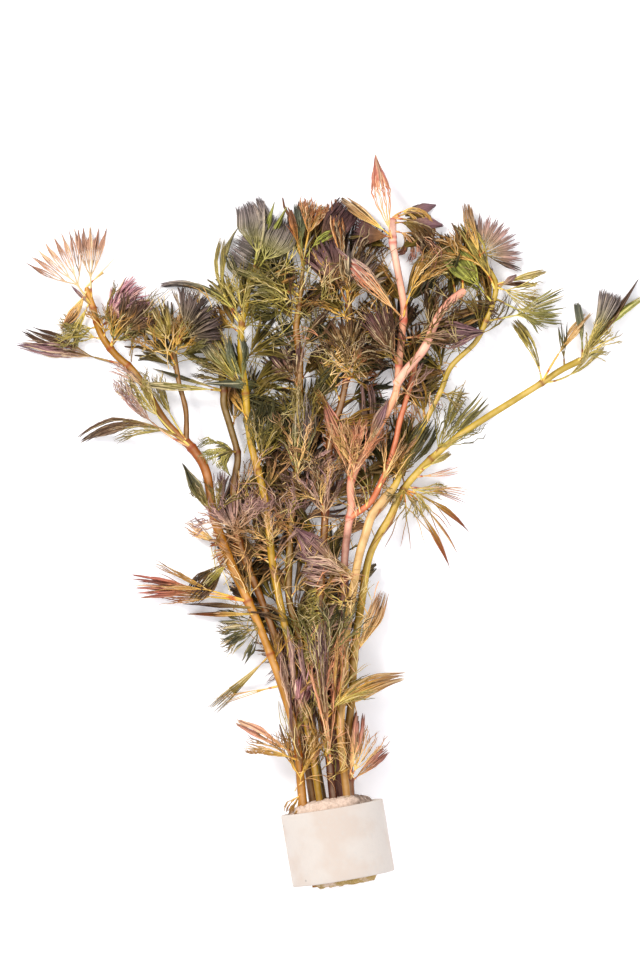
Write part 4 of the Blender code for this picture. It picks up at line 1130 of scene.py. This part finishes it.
class LeafShape:
    # Where a point of a leaf lies, from its share of the length and its lane.
    def __init__(self, base, tip, spread, bend, style):
        chord = np.subtract(tip, base)
        self.base = np.array(base, float)
        self.bend = math.radians(bend)
        half = self.bend / 2
        self.length = float(np.hypot(*chord)) * (half / math.sin(half) if half else 1)
        self.heading = math.atan2(chord[1], chord[0]) - half
        self.spread = math.radians(spread)
        self.style = style
        self.petiole = style["forks"][0][0]

    def flat(self, share, lane):  # along and across the leaf before it is bent
        petiole = self.petiole * self.length
        past = np.clip((share - self.petiole) / (1 - self.petiole), 0, None)
        if self.style["closed"]:
            belly = np.clip(past / self.style["bellyAt"], 0, 1) ** 0.8
            belly *= 1 - (1 - self.style["taper"]) * ramped((past - 0.42) / 0.58)
            return share * self.length, lane * self.length * math.tan(self.spread / 2) * belly * 0.75
        angle = lane * self.spread / 2
        tipOut, tipAcross = self.length * np.cos(angle), self.length * np.sin(angle)
        out = np.where(share < self.petiole, share * self.length, petiole + (tipOut - petiole) * past)
        return out, tipAcross * past**0.85

    def place(self, share, lane):
        out, across = self.flat(share, lane)
        turn = self.bend / self.length if self.bend else 0
        if turn:
            heading = self.heading + turn * out
            x = (np.sin(heading) - math.sin(self.heading)) / turn
            y = (math.cos(self.heading) - np.cos(heading)) / turn
        else:
            heading = self.heading
            x, y = out * math.cos(heading), out * math.sin(heading)
        x = self.base[0] + x - across * np.sin(heading)
        y = self.base[1] + y + across * np.cos(heading)
        return np.stack([x, y], 1)


def solidTree(names):
    corners, faces = [], []
    for name in names:
        mesh = nodes[name].data
        start = len(corners)
        corners += [vert.co.copy() for vert in mesh.vertices]
        faces += [[start + corner for corner in face.vertices] for face in mesh.polygons]
    return BVHTree.FromPolygons(corners, faces)


heapTree = solidTree(nodes)
matTrees = {name: solidTree([name]) for name in mats}


def heightsOn(tree, places, nearest):  # heights of the model's solids there, in mm
    found = []
    for x, y in toWorld(np.column_stack([places, np.zeros(len(places))]))[:, :2]:
        hit = tree.ray_cast((x, y, 0.1), (0, 0, -1))[0]
        if hit is None and nearest:
            hit = tree.find_nearest((x, y, 0.0))[0]
        found.append(hit.z / mm if hit is not None else 0.0)
    return np.array(found)


def insideHeap(places):  # whether each place lies in the dense part of the bunch
    places = np.atleast_2d(places)
    heights, lefts, rights = np.array(heapEdges).T
    left = np.interp(places[:, 1], heights, lefts)
    right = np.interp(places[:, 1], heights, rights)
    inside = (places[:, 0] > left) & (places[:, 0] < right) & (places[:, 1] > heapFoot)
    for x, y, across, along in heapGaps:
        inside &= ((places[:, 0] - x) / across) ** 2 + ((places[:, 1] - y) / along) ** 2 > 1
    return inside


threadShape = {  # in mm, except for slopes and shares
    "petiole": (0.8, 0.62),  # its width at the stem and at the first fork
    "settle": 0.12,  # share of the length in which a leaf leaves its stem's height
    "lowest": 0.34, "highest": 29.0,
    "climb": 2.5, "fall": 0.9,
    "layerGap": 0.35,
    "point": 0.15,  # width left at a tip
}


def eased(heights, places, start):  # a thread climbs and falls gently, from the end of the one before
    steps = np.hypot(*np.diff(places, axis=0).T)
    made = [start]
    for height, step in zip(heights[1:], steps):
        low, high = made[-1] - threadShape["fall"] * step, made[-1] + threadShape["climb"] * step
        made.append(min(max(height, low), high))
    return np.array(made)


def threadLine(places, height, width, share, tint, twist, finish):  # one line for the sweep
    return {
        "points": np.column_stack([places, height]), "width": width * mm, "along": share, "tint": tint,
        "twist": twist, "finish": float(finishOrder.index(finish)),
    }


def threadHeights(thread, style, places, tree, first, layer, start, ends):
    share = thread["share"]
    if style["under"]:
        height = style["under"] + thread["lift"] * np.clip(share * 2, 0, 1)
    else:
        ground = heightsOn(tree, places, first)
        rise = thread["lift"] + style["arch"] * np.sin(np.pi * np.clip(share, 0, 1))
        rise = rise + threadShape["layerGap"] * layer
        height = ground + np.maximum(rise, -0.2) * np.clip(share * 3, 0, 1)
    settle = np.clip(share / threadShape["settle"], 0, 1)
    height = start * (1 - settle) + height * settle
    height = np.clip(height, threadShape["lowest"], threadShape["highest"])
    if style["under"]:
        return height
    return eased(height, places, ends.get(thread["parent"], start))


def threadWidths(thread, style):
    count = len(thread["share"])
    if thread["level"] < 0:
        return np.linspace(*threadShape["petiole"], count)
    if not thread["last"]:
        return np.full(count, style["thread"] * (1.55 - 0.2 * thread["level"]))
    run = np.linspace(0, 1, count)
    width = style["thread"] + (style["ribbon"] - style["thread"]) * ramped(run / 0.4)
    return width * (1 - np.clip((run - 0.62) / 0.38, 0, 1) ** 1.6 * (1 - threadShape["point"]))


def leafLines(entry, tree, first, draw):
    stem, base, tip, spread, bend, styleName, finish, *more = entry
    style = {**plainLeaf, **leafStyles[styleName], **(more[0] if more else {})}
    start = routes[stem][nearestOn(routes[stem], base)]
    lines = []
    if styleName in paintedShadeStyles and insideHeap(start[:2] + np.subtract(tip, start[:2]) * 0.6)[0]:
        lines += backingLines(start, tip, spread, bend, style, finish, draw)
    for layer in range(style["layers"] if first else 1):
        swing = draw.normal(0, 0.03) * (layer > 0)
        stretch = 1 - 0.06 * layer * draw.random()
        chord = np.subtract(tip, start[:2]) * stretch
        turned = np.array((chord[0] - chord[1] * swing, chord[1] + chord[0] * swing))
        shape = LeafShape(start[:2], start[:2] + turned, spread, bend, style)
        threads = treeOfThreads(style, draw)
        if style["thin"]:
            threads = [t for t in threads if not t["last"] or draw.random() > style["thin"]]
        threads.insert(0, {
            "share": np.linspace(0, shape.petiole, 5), "lane": np.zeros(5), "lift": np.zeros(5),
            "last": False, "level": -1, "shade": 0.5, "own": (-1, 0), "parent": None,
        })
        ends = {}
        for thread in threads:
            places = shape.place(thread["share"], thread["lane"])
            height = threadHeights(thread, style, places, tree, first, layer, start[2], ends)
            ends[thread["own"]] = height[-1]
            twist = draw.normal(0, style["twist"] if thread["last"] else 0.1)
            width = threadWidths(thread, style)
            lines.append(threadLine(places, height, width, thread["share"], thread["shade"], twist, finish))
    return lines


# Painted shade: broad dark threads low in the heap, under a leaf of the same form, stand in for the shade
# deep in the bunch.
paintedShadeThreads = {
    "forks": ((0.16, 3), (0.28, 4)), "thread": 0.4, "ribbon": 1.15, "locks": 12, "ragged": 0.1,
    "lowest": 0.35, "depth": (0.25, 0.6), "start": 0.7, "dark": 0.22,
}


def backingLines(start, tip, spread, bend, style, finish, draw):
    under = {**style, **paintedShadeThreads}
    shape = LeafShape(start[:2], tip, spread, bend, under)
    lines = []
    for thread in treeOfThreads(under, draw):
        share = thread["share"]
        places = shape.place(share, thread["lane"])
        if not thread["last"] or not insideHeap(places[-1:])[0]:
            continue
        ground = heightsOn(heapTree, places, False)
        swell = np.sin(np.pi * np.linspace(0.1, 1, len(share)))
        width = under["thread"] + (under["ribbon"] - under["thread"]) * swell
        height = np.maximum(ground * draw.uniform(*paintedShadeThreads["depth"]), paintedShadeThreads["lowest"])
        height = eased(height, places, start[2] * paintedShadeThreads["start"])
        # painted shade: these threads are made far darker than the leaf above them
        tint = thread["shade"] * paintedShadeThreads["dark"]
        lines.append(threadLine(places, height, width, share, tint, draw.normal(0, 0.25), finish))
    return lines


whorlStyle = {"forks": ((0.16, 4), (0.34, 3), (0.56, 2)), "arch": 1.0, "waver": 0.12, "shade": 0.8}
whorlShape = {
    "turn": (0.35, 1.25),  # from the stem's own direction, in radians
    "reach": (0.75, 1.25),  # shares of the given length
    "styles": ("net", "net", "brush", "brush", "curl"),
    "spread": (24, 66), "brushSpread": (16, 28), "bend": (-20, 50),  # degrees
    "under": (2, 6),  # mm above the floor
}


def whorlLeaves(draw):
    made = []
    for stem, low, high, gap, length, under, finishes in whorls:
        route = routes[stem]
        side = 1
        for height in np.arange(low, high, gap):
            index = min(int(np.argmin(np.abs(route[:, 1] - height - draw.normal(0, 1)))), len(route) - 3)
            heading = math.atan2(*(route[index + 2] - route[index])[1::-1])
            for _ in range(2):
                side = -side
                turned = heading + side * draw.uniform(*whorlShape["turn"])
                reach = length * draw.uniform(*whorlShape["reach"])
                base = route[index, :2]
                tip = base + reach * np.array((math.cos(turned), math.sin(turned)))
                if not insideHeap([tip, (base + tip) / 2]).all():
                    continue
                style = str(draw.choice(whorlShape["styles"]))
                spread = draw.uniform(*whorlShape["brushSpread" if style == "brush" else "spread"])
                more = dict(whorlStyle)
                if draw.random() < under:
                    more["under"] = draw.uniform(*whorlShape["under"])
                finish = str(draw.choice(finishes))
                bend = side * draw.uniform(*whorlShape["bend"])
                made.append((stem, base, tip, spread, bend, style, finish, more))
    return made


def barePoints():
    rows = []
    for name, (low, high) in bareStems.items():
        route = routes[name]
        rows.append(route[(route[:, 1] > low) & (route[:, 1] < high), :2])
    return np.concatenate(rows)


sprigShape = {
    "wander": 0.75, "turn": 0.08, "jitter": 0.06, "forkAngle": (0.12, 0.3),  # radians, the second per mm
    "reach": (0.6, 1.35),  # shares of the given length
    "shade": (0.25, 0.95),
    "ends": (0.3, 0.62, 1.0),  # shares of the length where it forks and ends
    "clear": 2.6,  # mm around a bare stem, where most sprigs pass under it
    "passUnder": 0.85, "sunk": 0.35, "lowest": 0.4,
    "rise": (0.3, 1.5),  # mm over the heap at its foot, and more along it
    "widths": ((0, 0.7, 1), (0.34, 0.25, 0.1)),  # at shares of the length, in mm
    "forkAgain": 0.7,  # share of the arms that fork a second and a third time
}


def sprigHeights(places, shares, under):
    ground = heightsOn(heapTree, places, False)
    lift, arch = sprigShape["rise"]
    height = np.maximum(ground, ground.max() * 0.7) + lift + arch * np.sin(shares * 3)
    height = np.minimum(height, threadShape["highest"])
    return np.maximum(height * sprigShape["sunk"], sprigShape["lowest"]) if under else height


def sprigLines(zone, bare, draw):
    left, low, right, high, count, length, finishes = zone
    lines = []
    for _ in range(count):
        middle = np.array((draw.uniform(left, right), draw.uniform(low, high)))
        heading = math.pi / 2 + draw.normal(0, sprigShape["wander"])
        reach = length * draw.uniform(*sprigShape["reach"])
        turn = draw.normal(0, sprigShape["turn"])
        start = middle - 0.4 * reach * np.array((math.cos(heading), math.sin(heading)))
        ends = np.array((start, middle, 2 * middle - start))
        if not insideHeap(ends).all():
            continue
        crossing = np.min(np.hypot(*(bare[:, None] - ends).T)) < sprigShape["clear"]
        under = crossing and draw.random() < sprigShape["passUnder"]
        shade = draw.uniform(*sprigShape["shade"])
        finish = str(draw.choice(finishes))
        arms = [(start, heading, 0.0)]
        for level, end in enumerate(sprigShape["ends"]):
            grown = []
            for place, bearing, share in arms:
                shares = np.linspace(share, end, 5)
                jitter = draw.normal(0, sprigShape["jitter"], 5)
                bearings = bearing + turn * reach * (shares - share) + jitter
                step = reach * (end - share) / 4
                moves = np.column_stack([np.cos(bearings), np.sin(bearings)])[1:] * step
                places = np.vstack([place, place + np.cumsum(moves, axis=0)])
                if not insideHeap(places[-1:])[0]:
                    continue
                height = sprigHeights(places, shares, under)
                width = np.interp(shares, *sprigShape["widths"])
                tint = np.clip(shade + draw.normal(0, 0.1), 0, 1)
                lines.append(threadLine(places, height, width, 0.22 + 0.62 * shares, tint, 0.0, finish))
                spread = draw.uniform(*sprigShape["forkAngle"])
                both = level == 0 or draw.random() < sprigShape["forkAgain"]
                sides = (-1, 1) if both else (draw.choice((-1, 1)),)
                grown += [(places[-1], bearings[-1] + side * spread, end) for side in sides]
            arms = grown
    return lines


def hostOf(place):  # the leaf mat whose first leaf is nearest
    middles = {name: np.add(leaves[0][1], leaves[0][2]) / 2 for name, leaves in mats.items()}
    return min(middles, key=lambda name: np.hypot(*(middles[name] - place)))


def readValues(rows, key, kind=np.int32):
    values = np.empty(len(rows), kind)
    rows.foreach_get(key, values)
    return values


def paintByFinish(mesh, used):
    values = readValues(mesh.attributes["finish"].data, "value", np.float32)
    mesh.materials.clear()
    for name in used:
        mesh.materials.append(leafFinishes[name])
    firstCorners = readValues(mesh.loops, "vertex_index")[readValues(mesh.polygons, "loop_start")]
    slotNumber = {finishOrder.index(name): slot for slot, name in enumerate(used)}
    chosen = np.rint(values[firstCorners]).astype(int)
    mesh.polygons.foreach_set("material_index", np.array([slotNumber[c] for c in chosen], np.int32))
    mesh.attributes.remove(mesh.attributes["finish"])


def layMap(mesh, slots):
    # A map for the threads: each finish has its own strip, with the threads' own shade across it.
    corners = readValues(mesh.loops, "vertex_index")
    strip = readValues(mesh.polygons, "material_index")
    sizes = readValues(mesh.polygons, "loop_total")
    along, tint, around = (
        readValues(mesh.attributes[key].data, "value", np.float32)[corners]
        for key in ("along", "tint", "around")
    )
    across = (np.repeat(strip, sizes) + 0.04 + 0.9 * tint + 0.03 * around) / slots
    upward = 0.02 + 0.96 * along
    mesh.uv_layers.new(name="OFBake").data.foreach_set("uv", np.column_stack([across, upward]).ravel())


seeds = {"undergrowth": 30, "mats": 100, "stems": 7}  # each mat adds its own number


def growMats():
    triangles = 0
    extra = {name: [] for name in mats}
    draw = np.random.default_rng(seeds["undergrowth"])
    for entry in whorlLeaves(draw):
        extra[hostOf((entry[1] + entry[2]) / 2)] += leafLines(entry, heapTree, False, draw)
    bare = barePoints()
    for zone in sprigs:
        for line in sprigLines(zone, bare, draw):
            extra[hostOf(line["points"][2, :2])].append(line)
    for number, (name, leaves) in enumerate(mats.items()):
        draw = np.random.default_rng(seeds["mats"] + number)
        lines = extra[name]
        for index, entry in enumerate(leaves):
            first = index == 0
            lines += leafLines(entry, matTrees[name] if first else heapTree, first, draw)
        used = [finishOrder[place] for place in sorted({int(line["finish"]) for line in lines})]
        obj = sweep(name + "_threads", threadTree, lines, {"Material": leafFinishes[used[0]]})
        paintByFinish(obj.data, used)
        layMap(obj.data, len(used))
        keepPiece(obj, name)
        triangles += sum(len(face.vertices) - 2 for face in obj.data.polygons)
    print("leaf mats grown:", len(mats), "with", triangles, "triangles")


growMats()


def jointPlaces():  # along each stem's route: the first leaf of each mat, and the branches
    joints = {name: [] for name in routes}
    for leaves in mats.values():
        stem, base = leaves[0][:2]
        joints[stem].append(nearestOn(routes[stem], base))
    for branch, carrier in branchRoots.items():
        joints[carrier].append(nearestOn(routes[carrier], routes[branch][1]))
    return joints


def growStems():
    joints = jointPlaces()
    draw = np.random.default_rng(seeds["stems"])
    for name, route in routes.items():
        heights, widths = zip(*stemShape["width"].get(name, stemShape["otherWidth"]))
        along = np.linspace(0, 1, len(route))
        width = np.interp(route[:, 1], heights, widths)
        ripple = np.interp(along, np.linspace(0, 1, 14), draw.normal(0, stemShape["ripple"], 14))
        swell, mark = np.zeros(len(route)), np.zeros(len(route))
        for index in joints[name]:
            away = (np.arange(len(route)) - index) * stemShape["step"]
            swell = np.maximum(swell, np.exp(-(away / stemShape["jointLength"]) ** 2))
            mark = np.maximum(mark, np.exp(-(away / stemShape["jointLine"]) ** 2))
        width = width * (1 + ripple + swell * stemShape["jointSwell"])
        width[-1] *= stemShape["end"]
        line = {
            "points": route, "width": width * mm, "along": along, "joint": mark * stemShape["jointDark"],
            "rise": route[:, 1] / stemMarksAndPaintedSheen["rampTop"], "tint": draw.random(), "twist": 0.0,
        }
        finish = stemFinish("stem " + name, *stemLooks[name])
        obj = sweep(name + "_stalk", stemTree, [line], {"Material": finish})
        keepPiece(obj, name)
    print("stems swept:", len(routes))


growStems()


# The ring and its foam

ringShape = {
    "outer": 14.94, "wall": 2.2, "height": 21.0, "edge": 0.35, "around": 160,
    "waver": 0.05, "waverScale": 0.18, "seed": 5,
    "specks": ((-10.8, -8.9), (-14.6, 7.4)),  # places across and along it
}
foamShape = {
    "outer": 12.5, "top": 12.9, "bottom": -11.8, "around": 96, "across": 18, "edge": 1.6,
    "rough": 0.9, "roughScale": 0.45, "grain": 0.6, "grainScale": 1.7,
    "outside": 9.5,  # the ends begin this far above and below the middle
    "dome": 2.2, "highest": 0.4,  # how far the upper end's rim drops, and how far crumbs stand out
    "low": (-7.3, 8.8), "lowSlope": 1.6, "lowEnd": -8.0,  # the lower end shows between these two
    "grit": (3.0, 6.0), "gritScale": 900,  # grit comes in between these two, at the upper end
}


def onRingAxis(points):  # from the ring's own upright frame to where it lies, in mm
    lean = stemShape["ringLean"]
    across = np.array((math.cos(lean), math.sin(lean), 0))
    along = np.array((-math.sin(lean), math.cos(lean), 0))
    up = np.array((0, 0, 1))
    points = np.asarray(points, float)
    lying = points[:, :1] * across + points[:, 1:2] * up + points[:, 2:] * along
    return lying + (0, 0, ringMiddle.z / mm)


def turnedMesh(name, profile, around, shift, finish):
    # A closed profile of (radius, height) turned once; shift moves each point a little.
    grid = []
    for step in range(around):
        angle = 2 * math.pi * step / around
        grid += [(radius * math.cos(angle), radius * math.sin(angle), height) for radius, height in profile]
    grid = shift(np.array(grid))
    count = len(profile)
    faces = []
    for step in range(around):
        after = (step + 1) % around
        for i in range(count):
            j = (i + 1) % count
            faces.append((step * count + i, after * count + i, after * count + j, step * count + j))
    mesh = bpy.data.meshes.new(name)
    mesh.from_pydata(toWorld(onRingAxis(grid)), [], faces)
    work = bmesh.new()
    work.from_mesh(mesh)
    bmesh.ops.remove_doubles(work, verts=work.verts, dist=0.000005)
    bmesh.ops.dissolve_degenerate(work, edges=work.edges, dist=0.000001)
    bmesh.ops.recalc_face_normals(work, faces=work.faces)
    work.to_mesh(mesh)
    work.free()
    mesh.shade_smooth()
    mesh.materials.append(finish)
    obj = bpy.data.objects.new(name, mesh)
    bpy.context.scene.collection.objects.link(obj)
    return obj


def roundedCorner(middle, radius, start):
    angles = np.radians(np.linspace(start, start - 90, 5))
    return [(middle[0] + radius * math.cos(a), middle[1] + radius * math.sin(a)) for a in angles]


def makeRing():
    outer, half, edge = ringShape["outer"], ringShape["height"] / 2, ringShape["edge"]
    inner = outer - ringShape["wall"]
    profile = roundedCorner((outer - edge, half - edge), edge, 90)
    profile += [(outer, height) for height in np.linspace(half - edge, edge - half, 9)[1:-1]]
    profile += roundedCorner((outer - edge, edge - half), edge, 0)
    profile += roundedCorner((inner + edge, edge - half), edge, -90)
    profile += roundedCorner((inner + edge, half - edge), edge, -180)

    def waver(grid):
        noise.seed_set(ringShape["seed"])  # without it the noise differs from run to run
        for point in grid:
            point += noise.noise_vector(Vector(point) * ringShape["waverScale"]) * ringShape["waver"]
        return grid

    ring = turnedMesh("ceramic_ring_body", profile, ringShape["around"], waver, ceramicFinish())
    keepPiece(ring, "ceramic_ring")


def makeFoam():
    outer, top, bottom, edge = (foamShape[key] for key in ("outer", "top", "bottom", "edge"))
    shares = np.linspace(0, 1, foamShape["across"])[:-1]
    profile = [((outer - edge) * share, top) for share in shares]
    profile += roundedCorner((outer - edge, top - edge), edge, 90)
    profile += [(outer, height) for height in np.linspace(top - edge, bottom + edge, 16)[1:-1]]
    profile += roundedCorner((outer - edge, bottom + edge), edge, 0)
    profile += [((outer - edge) * share, bottom) for share in shares[::-1]]
    left, right = foamShape["low"]

    def crumble(grid):
        # The upper end is domed; the lower end shows below the ring only from left to right.
        for point in grid:
            lump = noise.fractal(Vector(point) * foamShape["roughScale"], 1.0, 2.0, 3)
            grain = noise.fractal(Vector(point) * foamShape["grainScale"] + Vector((9, 4, 2)), 1.0, 2.0, 2)
            away = foamShape["rough"] * lump + foamShape["grain"] * grain
            outward = min(away, foamShape["highest"])
            if point[2] > foamShape["outside"]:
                point[2] += outward - foamShape["dome"] * abs(point[0] / outer) ** 3
                point[:2] *= 1 + min(0.0, away) * 0.05
            elif point[2] < -foamShape["outside"]:
                beyond = max(left - point[0], point[0] - right, 0.0)
                point[2] = min(point[2] - outward + foamShape["lowSlope"] * beyond, foamShape["lowEnd"])
        return grid

    foam = turnedMesh("foam_plug", profile, foamShape["around"], crumble, foamFinish())
    mesh = foam.data
    places = np.array([vert.co for vert in mesh.vertices]) - layoutStart
    stain = mesh.attributes.new("stain", "FLOAT", "POINT")
    stain.data.foreach_set("value", (places[:, 1] < 0).astype(np.float32))
    none, full = foamShape["grit"]
    side = np.clip((places[:, 0] / mm - none) / (full - none), 0, 1) * (places[:, 1] > 0)
    rough = np.array([noise.noise(Vector(place) * foamShape["gritScale"]) for place in places])
    grit = mesh.attributes.new("grit", "FLOAT", "POINT")
    grit.data.foreach_set("value", np.clip(side * (0.6 + rough), 0, 0.9).astype(np.float32))
    keepPiece(foam, "foam")


makeRing()
makeFoam()
print("ring and foam made")


# The set: a pale floor, soft light from the upper left and a camera straight above.

setLook = {
    "camera": (-5.1, 105.0), "distance": 2600.0, "mmPerPixel": 0.2911, "imageHeight": 960, "sensor": 36.0,
    "floor": 3.0, "floorColours": ("#f4f4f7", "#fafafc"), "glow": 0.2, "glowColour": (1.0, 0.98, 0.98, 1),
    "sky": 0.92, "skyColour": (0.96, 0.96, 1.0, 1),
    "lights": {  # place and size in metres, power in watts, colour
        "key light": ((-0.45, 0.4, 0.8), 0.3, 7.2, (1.0, 0.965, 0.92)),
        "fill light": ((0.5, -0.3, 0.7), 0.8, 2.2, (0.98, 0.98, 1.0)),
    },
}


def makeFloor():
    finish = Finish("pale floor")
    haze = finish.cloud(3, 2)
    darker, paler = setLook["floorColours"]
    material = finish.set(
        Base_Color=finish.mix(haze, tone(darker), tone(paler)),
        Roughness=0.6,
        Emission_Color=setLook["glowColour"],
        Emission_Strength=setLook["glow"],
    )
    bpy.ops.mesh.primitive_plane_add(size=setLook["floor"], location=(0, 0, -0.00005))
    floor = bpy.context.object
    floor.name = "floor"
    floor.data.materials.append(material)


def makeLight(name, place, size, power, colour):
    data = bpy.data.lights.new(name, "AREA")
    data.shape = "DISK"
    data.size = size
    data.energy = power
    data.color = colour
    lamp = bpy.data.objects.new(name, data)
    lamp.location = place
    lamp.rotation_euler = (Vector((0, 0.01, 0)) - Vector(place)).to_track_quat("-Z", "Y").to_euler()
    bpy.context.scene.collection.objects.link(lamp)


def makeCamera():
    data = bpy.data.cameras.new("camera")
    data.sensor_width = setLook["sensor"]
    data.lens = setLook["sensor"] * setLook["distance"] / (setLook["imageHeight"] * setLook["mmPerPixel"])
    camera = bpy.data.objects.new("camera", data)
    camera.location = toWorld([*setLook["camera"], setLook["distance"]])
    bpy.context.scene.collection.objects.link(camera)
    bpy.context.scene.camera = camera


def makeSky():
    world = bpy.data.worlds.new("soft sky")
    world.use_nodes = True
    background = world.node_tree.nodes["Background"]
    background.inputs["Color"].default_value = setLook["skyColour"]
    background.inputs["Strength"].default_value = setLook["sky"]
    bpy.context.scene.world = world
    bpy.context.scene.view_settings.view_transform = "Standard"


makeFloor()
for name, light in setLook["lights"].items():
    makeLight(name, *light)
makeCamera()
makeSky()
print("set ready")
